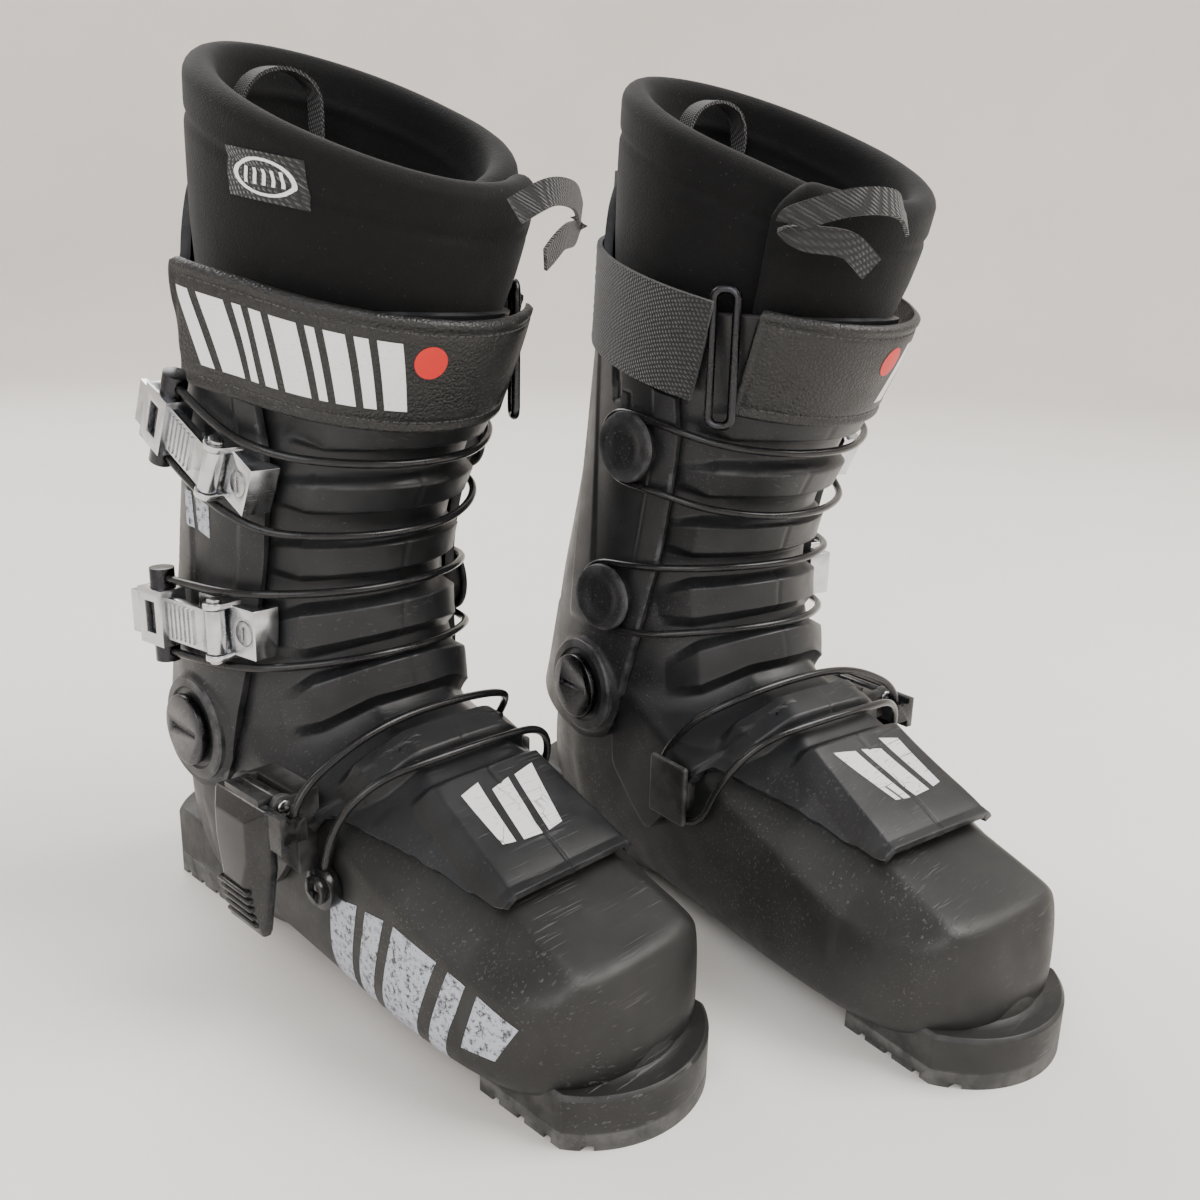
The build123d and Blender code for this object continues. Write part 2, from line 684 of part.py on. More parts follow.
def cable(points, name):
    """Round cable along straight runs joined by tangent arcs."""
    path = FilletPolyline(*points, radius=corner_radii(points))
    tube = sweep(Plane(origin=path @ 0, z_dir=path % 0) * Circle(CABLE_R), path=path)
    expected = math.pi * CABLE_R**2 * path.length
    print(name, "length", round(path.length, 1), "volume share", round(tube.volume / expected, 4))
    return tube


# ---- one boot, then the pair ----


def build_boot():
    """Every piece of the right boot: node name to list of solids."""
    cavity = body_form(SHELL_LEVEL + WALL, WALL)
    board_space = body_form(SHELL_LEVEL + WALL + 0.4, WALL + 0.4)
    shell_skin = body_form(SHELL_LEVEL - 0.03, -0.03)
    cuff_outer = leg_form(0.0)
    cuff_inner = leg_form(WALL)
    cuff_skin = leg_form(-0.03)
    pieces = {
        "lower_shell": lower_shell(cavity),
        "toe_sole": sole_plate(-1, TOE_PLATE),
        "heel_sole": sole_plate(1, HEEL_PLATE),
        "sole_screws": sole_screws(),
        "boot_board": boot_board(board_space),
        "liner": liner(),
        "footbed": footbed(),
        "pull_loops": pull_loops(),
        "tongue": tongue(),
        "cuff": cuff(cuff_outer, cuff_inner),
        "cuff_pivots": cuff_pivots(),
        "spoiler": spoiler(),
        "cuff_screws": cuff_screws(),
        "power_strap": power_strap(),
        "strap_webbing": strap_webbing(),
        "strap_ring": strap_ring(),
        "buckle_pins": [buckle_pin(ANKLE_PLACE), buckle_pin(TOP_PLACE)],
        "instep_base": instep_base(shell_skin),
        "instep_pin": instep_pin(),
        "instep_lever": instep_lever(),
        "instep_anchor": instep_anchor(),
        "instep_cable": cable(INSTEP_ROUTE, "instep"),
    }
    for name, place, route in (("ankle", ANKLE_PLACE, ANKLE_ROUTE), ("top", TOP_PLACE, TOP_ROUTE)):
        pieces[name + "_base"] = buckle_base(place, cuff_skin)
        pieces[name + "_lever"] = buckle_lever(place)
        pieces[name + "_barrel"] = buckle_barrel(place)
        pieces[name + "_cable"] = cable(route, name)
    return pieces


def solids_of(piece):
    """The solids of a piece, each turned right side out."""
    found = []
    for item in piece if isinstance(piece, list) else [piece]:
        found += list(item.solids())
    return found


def main():
    os.makedirs("parts", exist_ok=True)
    right_place = Pos(PAIR_SHIFT[0], PAIR_SHIFT[1], 0)
    left_place = right_place * Pos(LEFT_PLACE[0], LEFT_PLACE[1], 0) * Rot(0, 0, LEFT_TURN)
    for name, piece in build_boot().items():
        solids = solids_of(piece)
        right = Compound(children=[right_place * s for s in solids])
        left = Compound(children=[left_place * mirror(s, about=Plane.YZ) for s in solids])
        export_step(right, f"parts/right_{name}.step")
        export_step(left, f"parts/left_{name}.step")


if __name__ == "__main__":
    main()
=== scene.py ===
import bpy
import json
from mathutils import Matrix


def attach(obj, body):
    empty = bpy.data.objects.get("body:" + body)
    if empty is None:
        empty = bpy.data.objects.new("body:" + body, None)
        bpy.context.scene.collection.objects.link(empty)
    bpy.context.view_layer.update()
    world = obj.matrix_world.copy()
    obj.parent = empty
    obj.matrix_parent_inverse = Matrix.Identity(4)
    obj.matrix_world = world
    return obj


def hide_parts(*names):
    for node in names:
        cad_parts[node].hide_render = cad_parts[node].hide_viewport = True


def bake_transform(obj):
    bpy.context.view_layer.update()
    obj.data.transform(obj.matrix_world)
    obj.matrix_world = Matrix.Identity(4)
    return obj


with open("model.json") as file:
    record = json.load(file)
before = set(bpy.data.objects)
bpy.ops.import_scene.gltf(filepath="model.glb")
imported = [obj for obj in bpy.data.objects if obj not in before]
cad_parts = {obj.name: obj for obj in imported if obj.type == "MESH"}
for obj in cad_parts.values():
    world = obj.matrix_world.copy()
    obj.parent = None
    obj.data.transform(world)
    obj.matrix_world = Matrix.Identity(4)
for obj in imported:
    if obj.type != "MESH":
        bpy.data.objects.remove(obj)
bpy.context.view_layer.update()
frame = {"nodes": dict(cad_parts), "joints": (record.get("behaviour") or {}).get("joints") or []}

import json
import math

import bmesh
import bpy
import numpy as np
from mathutils import Matrix, Vector
from mathutils.bvhtree import BVHTree

# A pair of black three-piece ski boots. Shapes are worked out in one boot's own frame in millimetres
# (X to the inner side of the foot, Y to the heel, Z up) and placed twice, mirrored for the left boot.

MM = 0.001
# Ankle pivot, wall thickness, and how far the tongue and the shell lie inside the leg form.
PIVOT_Y, PIVOT_Z = 58.0, 92.0
WALL = 3.5
TONGUE_LEVEL = 4.1
SHELL_LEVEL = 7.9
# Sole and lugs, and the radius of the coated cables.
HALF_SOLE = 137.5
LUG_HALF = 34.5
TOE_RADIUS = 41.5
CABLE_R = 1.5

joints = {j["name"]: j for j in frame["joints"]}


def boot_matrix(side):
    """Boot frame in millimetres to the row frame in metres, from the ankle joint's place and axis."""
    joint = joints[f"{side}_cuff_flex"]
    axis = joint["axis"]
    turn = Matrix.Rotation(math.atan2(axis[1], axis[0]), 4, "Z")
    mirror = Matrix.Diagonal((1 if side == "right" else -1, 1, 1, 1))
    pivot = Vector((0, PIVOT_Y * MM, PIVOT_Z * MM))
    place = Matrix.Translation(Vector(joint["pos_m"]) - turn @ pivot)
    return place @ turn @ mirror @ Matrix.Scale(MM, 4)


SIDES = {side: boot_matrix(side) for side in ("right", "left")}

# ---- the boot's form ----

# Leg sections at the cuff's outer face: height, rear, front, half width.
LEG = np.array([
    (4.0, 133.0, 10.0, 40.0), (30.0, 138.5, 2.0, 47.0), (60.0, 134.5, -2.0, 52.0),
    (90.0, 125.0, -9.0, 54.0), (112.0, 119.0, -7.0, 53.5), (132.0, 113.5, 0.0, 52.0),
    (150.0, 108.5, 1.0, 50.8), (170.0, 103.5, -3.0, 50.2), (190.0, 99.5, -12.0, 50.5),
    (215.0, 95.5, -25.0, 52.0), (240.0, 92.0, -37.0, 54.0), (254.0, 90.7, -42.0, 55.0),
    (270.0, 89.5, -47.0, 56.0), (300.0, 87.5, -53.5, 57.5), (345.0, 85.0, -60.0, 58.5),
])
# Foot sections at the shell's outer face: Y, half width, bottom, top.
FOOT = np.array([
    (-132.0, 24.0, 24.0, 50.0), (-129.0, 30.5, 17.0, 56.0), (-121.0, 37.0, 11.0, 60.0),
    (-106.0, 41.5, 5.0, 61.5), (-84.0, 45.0, 3.0, 67.0), (-58.0, 47.5, 3.0, 78.0),
    (-28.0, 47.5, 3.0, 94.0), (5.0, 46.0, 3.0, 109.0), (45.0, 43.0, 3.0, 114.0), (75.0, 40.0, 3.0, 104.0),
])


def smooth_table(table):
    """Function giving a table's row at a key, through a smooth curve."""
    keys, values = table[:, 0], table[:, 1:]
    slopes = np.gradient(values, keys, axis=0)

    def row(key):
        key = np.clip(key, keys[0], keys[-1])
        i = np.clip(np.searchsorted(keys, key) - 1, 0, len(keys) - 2)
        h = keys[i + 1] - keys[i]
        t = ((key - keys[i]) / h)[..., None]
        h = h[..., None]
        a = (1 + 2 * t) * (1 - t) ** 2 * values[i] + t * (1 - t) ** 2 * h * slopes[i]
        b = t * t * (3 - 2 * t) * values[i + 1] + t * t * (t - 1) * h * slopes[i + 1]
        return a + b

    return row


leg_row = smooth_table(LEG)
foot_row = smooth_table(FOOT)


def smooth_max(a, b, k):
    """Larger of two values, rounded over k."""
    h = np.clip(0.5 + 0.5 * (a - b) / k, 0, 1)
    return b * (1 - h) + a * h + k * h * (1 - h)


def smooth_min(a, b, k):
    return -smooth_max(-a, -b, k)


def leg_section(z, inset=0.0):
    """Middle, half depth and half width of the leg form at a height."""
    row = leg_row(z)
    middle = (row[..., 0] + row[..., 1]) / 2
    return middle, (row[..., 0] - row[..., 1]) / 2 - inset, row[..., 2] - inset


def leg_gap(p, inset):
    """Signed distance, near enough, to the leg form inset by a distance."""
    middle, depth, width = leg_section(p[..., 2], inset)
    k = np.sqrt((p[..., 0] / width) ** 2 + ((p[..., 1] - middle) / depth) ** 2)
    return (k - 1) * np.minimum(width, depth)


# Rear end of the foot form, and the rounded toe in plan: its centre, half width and length.
FOOT_END = 76.0
TOE_CENTRE, TOE_HALF, TOE_LENGTH = -82.0, 46.5, 46.5
TOE_POWER = 2.15
# Front face of the nose: a point on it (Y, Z) and its outward slope.
NOSE = (-126.5, 34.0)
NOSE_OUT = (0.95, 0.31)
# Facets of the toe box: the top plane's slope and height, and the slanted planes beside it.
TOP_SLOPE = 0.34
TOP_AT = (-88.0, 63.5)
FACET_NORMAL = np.array([0.62, -0.215, 0.755])
FACET_POINT = np.array([25.5, -88.0, 63.5])


def foot_gap(p, inset):
    """The same for the foot form, cut to the toe box's facets."""
    row = foot_row(p[..., 1])
    half, low, high = row[..., 0] - inset, row[..., 1] + inset, row[..., 2] - inset
    middle, rise = (low + high) / 2, (high - low) / 2
    power = np.interp(p[..., 1], (-130, -88), (2.3, 3.4))
    k = (np.abs(p[..., 0] / half) ** power + np.abs((p[..., 2] - middle) / rise) ** power) ** (1 / power)
    gap = (k - 1) * np.minimum(half, rise)
    nose = (NOSE[0] - p[..., 1]) * NOSE_OUT[0] + (p[..., 2] - NOSE[1]) * NOSE_OUT[1] + inset
    gap = smooth_max(gap, nose, 14.0)
    gap = smooth_max(gap, p[..., 1] - FOOT_END + inset, 6.0)
    ahead = np.maximum(TOE_CENTRE - p[..., 1], 0)
    beside = np.abs(p[..., 0] / (TOE_HALF - inset))
    plan = (beside**TOE_POWER + (ahead / (TOE_LENGTH - inset)) ** TOE_POWER) ** (1 / TOE_POWER)
    gap = np.where(p[..., 1] < TOE_CENTRE, smooth_max(gap, (plan - 1) * TOE_LENGTH, 4.0), gap)
    norm = math.sqrt(1 + TOP_SLOPE**2)
    top = (p[..., 2] - TOP_AT[1] - TOP_SLOPE * (p[..., 1] - TOP_AT[0])) / norm + inset
    near_toe = np.clip((p[..., 1] + 84) / 30, 0, 1) * 9
    gap = smooth_max(gap, top - near_toe, 2.0)
    for side in (-1, 1):
        normal = FACET_NORMAL * (side, 1, 1)
        normal = normal / np.linalg.norm(normal)
        facet = (p - FACET_POINT * (side, 1, 1)) @ normal + inset
        gap = smooth_max(gap, facet - near_toe * 0.45, 2.0)
    return gap


def body_gap(p, leg_inset, foot_inset):
    return smooth_min(leg_gap(p, leg_inset), foot_gap(p, foot_inset), 7.0)


def cast(origins, directions, gap, reach=150.0):
    """Where rays from inside a form leave it, by bisection."""
    low = np.zeros(origins.shape[:-1])
    high = np.full(origins.shape[:-1], reach)
    for _ in range(26):
        middle = (low + high) / 2
        inside = gap(origins + directions * middle[..., None]) < 0
        low = np.where(inside, middle, low)
        high = np.where(inside, high, middle)
    return origins + directions * low[..., None]


def bump(x, half, edge):
    """1 within half of zero, falling to 0 over edge."""
    t = np.clip((half + edge - np.abs(x)) / edge, 0, 1)
    return t * t * (3 - 2 * t)


# ---- meshes ----


def face_normals(points, closed):
    """Unit normals of a grid of points, rows first."""
    if closed:
        along = np.roll(points, -1, 1) - np.roll(points, 1, 1)
    else:
        along = np.gradient(points, axis=1)
    up = np.gradient(points, axis=0)
    n = np.cross(along, up)
    return n / np.maximum(np.linalg.norm(n, axis=-1, keepdims=True), 1e-9)


def grid_faces(rows, cols, closed, offset=0, flip=False):
    faces = []
    for r in range(rows - 1):
        for c in range(cols if closed else cols - 1):
            d = (c + 1) % cols
            low, high = offset + r * cols, offset + (r + 1) * cols
            quad = [low + c, low + d, high + d, high + c]
            faces.append(quad[::-1] if flip else quad)
    return faces


def piece(name, side, points, faces, material, body, smooth=True, placed=False):
    """Object from boot-frame points, or from placed ones, riding on a body of its boot."""
    mesh = bpy.data.meshes.new(f"{side}_{name}")
    world = np.asarray(points, float).reshape(-1, 3)
    if not placed:
        matrix = np.array(SIDES[side])
        world = world @ matrix[:3, :3].T + matrix[:3, 3]
    if side == "left":
        faces = [tuple(reversed(f)) for f in faces]
    mesh.from_pydata(world.tolist(), [], faces)
    mesh.materials.append(material)
    mesh.polygons.foreach_set("use_smooth", [smooth] * len(mesh.polygons))
    mesh.update()
    obj = bpy.data.objects.new(f"{side}_{name}", mesh)
    bpy.context.scene.collection.objects.link(obj)
    if body:
        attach(obj, f"{side}_{body}")
    return obj


def modify(obj, kind, **settings):
    m = obj.modifiers.new(kind.lower(), kind)
    for key, value in settings.items():
        setattr(m, key, value)
    return m


def apply_modifiers(obj):
    """Bakes the modifiers into the mesh, so that the mesh is final."""
    bpy.context.view_layer.update()
    evaluated = obj.evaluated_get(bpy.context.evaluated_depsgraph_get())
    mesh = bpy.data.meshes.new_from_object(evaluated)
    obj.modifiers.clear()
    obj.data = mesh
    return obj


def sheet_piece(name, side, points, thick, material, body, closed=False, edge=0.8):
    """Grid of points as a sheet of some thickness inward, with rounded edges."""
    rows, cols = points.shape[:2]
    obj = piece(name, side, points, grid_faces(rows, cols, closed), material, None)
    modify(obj, "SOLIDIFY", thickness=thick * MM, offset=-1.0, use_even_offset=False)
    modify(obj, "BEVEL", width=edge * MM, segments=2, limit_method="ANGLE", angle_limit=math.radians(50))
    apply_modifiers(obj)
    obj.data.polygons.foreach_set("use_smooth", [True] * len(obj.data.polygons))
    if body:
        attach(obj, f"{side}_{body}")
    return obj


def box_mesh(x0, x1, y0, y1, z0, z1):
    points = [(x, y, z) for x in (x0, x1) for y in (y0, y1) for z in (z0, z1)]
    faces = [(0, 1, 3, 2), (4, 6, 7, 5), (0, 4, 5, 1), (2, 3, 7, 6), (0, 2, 6, 4), (1, 5, 7, 3)]
    return points, faces


def cad_copy(name, side, material, body, width=0.35, segments=2):
    """Stand-in for a CAD node: the same shape with clean faces and softened edges."""
    node = f"{side}_{name}"
    mesh = frame["nodes"][node].data.copy()
    bm = bmesh.new()
    bm.from_mesh(mesh)
    bmesh.ops.remove_doubles(bm, verts=bm.verts, dist=1e-6)
    bmesh.ops.dissolve_limit(bm, angle_limit=math.radians(2.0), verts=bm.verts, edges=bm.edges)
    bm.normal_update()
    bm.to_mesh(mesh)
    bm.free()
    mesh.materials.clear()
    mesh.materials.append(material)
    obj = bpy.data.objects.new(f"{node}_shown", mesh)
    bpy.context.scene.collection.objects.link(obj)
    modify(obj, "BEVEL", width=width * MM, segments=segments, limit_method="ANGLE",
           angle_limit=math.radians(38), harden_normals=False)
    apply_modifiers(obj)
    obj.data.polygons.foreach_set("use_smooth", [True] * len(obj.data.polygons))
    obj.data.set_sharp_from_angle(angle=math.radians(38))
    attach(obj, f"{side}_{body}")
    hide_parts(node)
    return obj


# ---- materials ----


def new_material(name):
    mat = bpy.data.materials.new(name)
    mat.use_nodes = True
    tree = mat.node_tree
    shader = tree.nodes["Principled BSDF"]
    coords = tree.nodes.new("ShaderNodeTexCoord")
    return mat, tree, shader, coords.outputs["Object"]


def noise(tree, vector, scale, detail=4.0, stretch=None, turn=None, rough=0.6):
    """Noise texture, stretched and turned where asked."""
    if stretch or turn:
        mapping = tree.nodes.new("ShaderNodeMapping")
        mapping.inputs["Scale"].default_value = stretch or (1, 1, 1)
        mapping.inputs["Rotation"].default_value = turn or (0, 0, 0)
        tree.links.new(vector, mapping.inputs["Vector"])
        vector = mapping.outputs["Vector"]
    node = tree.nodes.new("ShaderNodeTexNoise")
    node.inputs["Scale"].default_value = scale
    node.inputs["Detail"].default_value = detail
    node.inputs["Roughness"].default_value = rough
    tree.links.new(vector, node.inputs["Vector"])
    return node.outputs["Fac"]


def ramp(tree, value, low, high, out_low=0.0, out_high=1.0):
    node = tree.nodes.new("ShaderNodeMapRange")
    node.inputs["From Min"].default_value = low
    node.inputs["From Max"].default_value = high
    node.inputs["To Min"].default_value = out_low
    node.inputs["To Max"].default_value = out_high
    tree.links.new(value, node.inputs["Value"])
    return node.outputs["Result"]


def maths(tree, operation, a, b):
    node = tree.nodes.new("ShaderNodeMath")
    node.operation = operation
    node.use_clamp = True
    for socket, value in zip(node.inputs, (a, b)):
        if isinstance(value, (int, float)):
            socket.default_value = value
        else:
            tree.links.new(value, socket)
    return node.outputs["Value"]


def mix(tree, share, a, b):
    """Colour mix; a and b are colours or sockets."""
    node = tree.nodes.new("ShaderNodeMix")
    node.data_type = "RGBA"
    tree.links.new(share, node.inputs[0])
    for socket, value in ((node.inputs[6], a), (node.inputs[7], b)):
        if isinstance(value, (tuple, list)):
            socket.default_value = (*value, 1.0)
        else:
            tree.links.new(value, socket)
    return node.outputs[2]


def bump_to(tree, shader, height, strength, distance, after=None):
    node = tree.nodes.new("ShaderNodeBump")
    node.inputs["Strength"].default_value = strength
    node.inputs["Distance"].default_value = distance
    tree.links.new(height, node.inputs["Height"])
    if after is not None:
        tree.links.new(after, node.inputs["Normal"])
    tree.links.new(node.outputs["Normal"], shader.inputs["Normal"])
    return node.outputs["Normal"]


def scratches(tree, vector, turn, fine=1.0):
    """Thin lines where stretched noise peaks, in patches."""
    lines = noise(tree, vector, 60.0, 2.0, stretch=(0.6, 16.0 * fine, 16.0 * fine), turn=turn, rough=0.5)
    patches = ramp(tree, noise(tree, vector, 22.0, 3.0, turn=turn), 0.47, 0.62)
    return maths(tree, "MULTIPLY", ramp(tree, lines, 0.63, 0.70), patches)


def crossed_scratches(tree, xyz, fine, fine_across):
    """Scratches in two directions."""
    along = scratches(tree, xyz, (0.3, 0.5, 0.9), fine)
    return maths(tree, "ADD", along, scratches(tree, xyz, (1.1, -0.4, -0.6), fine_across))


def scuffed_plastic(name, base, worn, rough, wear=1.0):
    """Moulded plastic with a fine grain, cloudy dirt, scratches and worn edges."""
    mat, tree, shader, xyz = new_material(name)
    clouds = ramp(tree, noise(tree, xyz, 26.0, 6.0), 0.35, 0.72)
    marks = crossed_scratches(tree, xyz, 1.0, 1.4)
    geometry = tree.nodes.new("ShaderNodeNewGeometry")
    edges = ramp(tree, geometry.outputs["Pointiness"], 0.515, 0.56)
    rubbed = maths(tree, "MULTIPLY", edges, ramp(tree, noise(tree, xyz, 120.0, 5.0), 0.38, 0.6))
    cloudy = mix(tree, clouds, base, tuple(0.8 * b + 0.2 * w for b, w in zip(base, worn)))
    marked = mix(tree, maths(tree, "MULTIPLY", marks, 0.55 * wear), cloudy, worn)
    colour = mix(tree, maths(tree, "MULTIPLY", rubbed, 0.7 * wear), marked, worn)
    tree.links.new(colour, shader.inputs["Base Color"])
    dullness = ramp(tree, noise(tree, xyz, 70.0, 5.0), 0.3, 0.7, rough - 0.08, rough + 0.1)
    tree.links.new(dullness, shader.inputs["Roughness"])
    grain = noise(tree, xyz, 1900.0, 2.0)
    first = bump_to(tree, shader, grain, 0.16, 0.0002)
    bump_to(tree, shader, maths(tree, "SUBTRACT", 1.0, marks), 0.35 * wear, 0.0003, first)
    shader.inputs["Specular IOR Level"].default_value = 0.36
    return mat


def metal(name, base, rough):
    """Cast or drawn metal with a fine cloud of roughness and light scratches."""
    mat, tree, shader, xyz = new_material(name)
    shader.inputs["Metallic"].default_value = 1.0
    cloud = ramp(tree, noise(tree, xyz, 240.0, 5.0), 0.3, 0.75)
    dull = tuple(0.84 * b for b in base)
    tree.links.new(mix(tree, cloud, base, dull), shader.inputs["Base Color"])
    marks = scratches(tree, xyz, (0.9, 0.2, 0.4), 2.0)
    uneven = maths(tree, "ADD", maths(tree, "MULTIPLY", cloud, 0.5), maths(tree, "MULTIPLY", marks, 0.5))
    tree.links.new(ramp(tree, uneven, 0, 1, rough - 0.07, rough + 0.16), shader.inputs["Roughness"])
    bump_to(tree, shader, noise(tree, xyz, 1300.0, 2.0), 0.12, 0.0001)
    return mat


def neoprene(name, base, lit):
    """Close knit face: rows of tiny stitches, a soft sheen and a little lint."""
    mat, tree, shader, xyz = new_material(name)
    voronoi = tree.nodes.new("ShaderNodeTexVoronoi")
    voronoi.inputs["Scale"].default_value = 1500.0
    tree.links.new(xyz, voronoi.inputs["Vector"])
    knit = voronoi.outputs["Distance"]
    lint = ramp(tree, noise(tree, xyz, 850.0, 1.0), 0.74, 0.78)
    cloud = ramp(tree, noise(tree, xyz, 20.0, 4.0), 0.35, 0.7)
    body = mix(tree, cloud, base, lit)
    fleck = mix(tree, maths(tree, "MULTIPLY", knit, 0.8), body, tuple(0.4 * b for b in base))
    colour = mix(tree, maths(tree, "MULTIPLY", lint, 0.5), fleck, (0.07, 0.07, 0.075))
    tree.links.new(colour, shader.inputs["Base Color"])
    shader.inputs["Roughness"].default_value = 0.88
    shader.inputs["Sheen Weight"].default_value = 0.07
    shader.inputs["Sheen Roughness"].default_value = 0.45
    shader.inputs["Specular IOR Level"].default_value = 0.25
    first = bump_to(tree, shader, knit, 0.5, 0.0003)
    bump_to(tree, shader, noise(tree, xyz, 38.0, 3.0), 0.35, 0.0012, first)
    return mat


def woven(name, base, lit, scale):
    """Coarse webbing: crossed bands of yarn."""
    mat, tree, shader, xyz = new_material(name)
    heights = []
    for turn in (0.75, -0.75):
        mapping = tree.nodes.new("ShaderNodeMapping")
        mapping.inputs["Rotation"].default_value = (turn, turn, turn * 0.6)
        tree.links.new(xyz, mapping.inputs["Vector"])
        wave = tree.nodes.new("ShaderNodeTexWave")
        wave.inputs["Scale"].default_value = scale
        wave.inputs["Distortion"].default_value = 1.2
        wave.inputs["Detail Scale"].default_value = 3.0
        tree.links.new(mapping.outputs["Vector"], wave.inputs["Vector"])
        heights.append(wave.outputs["Fac"])
    weave = maths(tree, "MULTIPLY", heights[0], heights[1])
    tree.links.new(mix(tree, weave, base, lit), shader.inputs["Base Color"])
    shader.inputs["Roughness"].default_value = 0.8
    shader.inputs["Sheen Weight"].default_value = 0.3
    bump_to(tree, shader, weave, 0.9, 0.0006)
    return mat


def leather(name, base, lit, rough):
    """Grained synthetic leather."""
    mat, tree, shader, xyz = new_material(name)
    voronoi = tree.nodes.new("ShaderNodeTexVoronoi")
    voronoi.feature = "DISTANCE_TO_EDGE"
    voronoi.inputs["Scale"].default_value = 620.0
    tree.links.new(xyz, voronoi.inputs["Vector"])
    grain = ramp(tree, voronoi.outputs["Distance"], 0.0, 0.28)
    cloud = ramp(tree, noise(tree, xyz, 45.0, 5.0), 0.35, 0.7)
    colour = mix(tree, cloud, base, lit)
    tree.links.new(mix(tree, grain, tuple(0.45 * b for b in base), colour), shader.inputs["Base Color"])
    tree.links.new(ramp(tree, cloud, 0, 1, rough - 0.06, rough + 0.12), shader.inputs["Roughness"])
    first = bump_to(tree, shader, grain, 0.55, 0.00025)
    bump_to(tree, shader, noise(tree, xyz, 150.0, 4.0), 0.25, 0.0006, first)
    return mat


def worn_print(name, paint, ground, cover, cracked=0.0, scored=0.6):
    """Printed ink, rubbed and scored through to what lies below, and cracked where asked."""
    mat, tree, shader, xyz = new_material(name)
    rubbed = ramp(tree, noise(tree, xyz, 420.0, 7.0, rough=0.75), cover - 0.05, cover + 0.05, 1.0, 0.0)
    marks = maths(tree, "MULTIPLY", crossed_scratches(tree, xyz, 2.0, 2.0), scored)
    left = maths(tree, "MULTIPLY", rubbed, maths(tree, "SUBTRACT", 1.0, marks))
    if cracked:
        cracks = tree.nodes.new("ShaderNodeTexVoronoi")
        cracks.feature = "DISTANCE_TO_EDGE"
        cracks.inputs["Scale"].default_value = 70.0
        tree.links.new(xyz, cracks.inputs["Vector"])
        broken = ramp(tree, noise(tree, xyz, 60.0, 3.0), 0.45, 0.6)
        line = ramp(tree, cracks.outputs["Distance"], 0.004, 0.014, 1.0, 0.0)
        open_cracks = maths(tree, "MULTIPLY", maths(tree, "MULTIPLY", line, broken), cracked)
        left = maths(tree, "MULTIPLY", left, maths(tree, "SUBTRACT", 1.0, open_cracks))
    tree.links.new(mix(tree, left, ground, paint), shader.inputs["Base Color"])
    shader.inputs["Roughness"].default_value = 0.5
    bump_to(tree, shader, left, 0.3, 0.00015)
    return mat


M = {
    "shell": scuffed_plastic("shell_plastic", (0.0090, 0.0090, 0.0088), (0.085, 0.085, 0.083), 0.46, 1.2),
    "cuff": scuffed_plastic("cuff_plastic", (0.0075, 0.008, 0.009), (0.08, 0.081, 0.087), 0.42),
    "tongue": scuffed_plastic("tongue_plastic", (0.0065, 0.007, 0.0078), (0.075, 0.076, 0.083), 0.38, 0.9),
    "spine": scuffed_plastic("spine_plastic", (0.018, 0.018, 0.019), (0.09, 0.09, 0.09), 0.5, 0.7),
    "sole": scuffed_plastic("sole_rubber", (0.030, 0.030, 0.030), (0.12, 0.12, 0.115), 0.6, 1.3),
    "gloss": scuffed_plastic("gloss_plastic", (0.005, 0.005, 0.0055), (0.06, 0.06, 0.06), 0.15, 0.7),
    "cable": scuffed_plastic("cable_coat", (0.006, 0.006, 0.007), (0.05, 0.05, 0.05), 0.16, 0.3),
    "silver": metal("buckle_silver", (0.62, 0.63, 0.65), 0.24),
    "steel": metal("screw_steel", (0.48, 0.48, 0.49), 0.3),
    "dark": metal("dark_metal", (0.05, 0.05, 0.055), 0.3),
    "liner": neoprene("liner_knit", (0.0030, 0.0030, 0.0033), (0.0055, 0.0055, 0.006)),
    "felt": neoprene("liner_felt", (0.006, 0.006, 0.006), (0.010, 0.010, 0.010)),
    "webbing": woven("webbing", (0.006, 0.006, 0.006), (0.035, 0.035, 0.037), 320.0),
    "leather": leather("strap_leather", (0.007, 0.007, 0.007), (0.016, 0.0155, 0.015), 0.42),
    "binding": leather("strap_binding", (0.008, 0.008, 0.008), (0.016, 0.016, 0.016), 0.5),
    "thread": woven("stitch_thread", (0.012, 0.012, 0.012), (0.06, 0.06, 0.06), 900.0),
    "white": worn_print("white_print", (0.80, 0.80, 0.80), (0.02, 0.02, 0.02), 0.74, 0.0, 0.3),
    "lip": worn_print("lip_print", (0.72, 0.72, 0.73), (0.015, 0.015, 0.016), 0.66, 1.0, 0.9),
    # The same white ink as on the lip, painted darker and bluer as painted shade on the toe's and cuff's
    # outer sides; the rubbing and scoring through are real wear.
    "rubbed": worn_print("shaded_rubbed_print", (0.42, 0.45, 0.51), (0.02, 0.02, 0.023), 0.555, 0.0, 1.0),
    "red": worn_print("red_print", (0.62, 0.012, 0.008), (0.02, 0.02, 0.02), 0.76, 0.0, 0.2),
}

UP = np.array([0, 0, 1.0])

# ---- lower shell ----

# Rays leave a straight spine inside the shell, and turn about its ends as round a half circle.
SPINE_FRONT, SPINE_REAR, SPINE_Z = -72.0, 62.0, 32.0
PLAN_RADIUS = 42.0
# Half width of the opening along the foot, and the height where the leg part of the shell stops.
THROAT_HALF = np.array([
    (-150, 0.0), (-76, 0.0), (-72, 19.0), (-50, 25.0), (-20, 33.0), (5, 38.0), (20, 39.0), (60, 39.0),
])
SHELL_TOP = 124.0


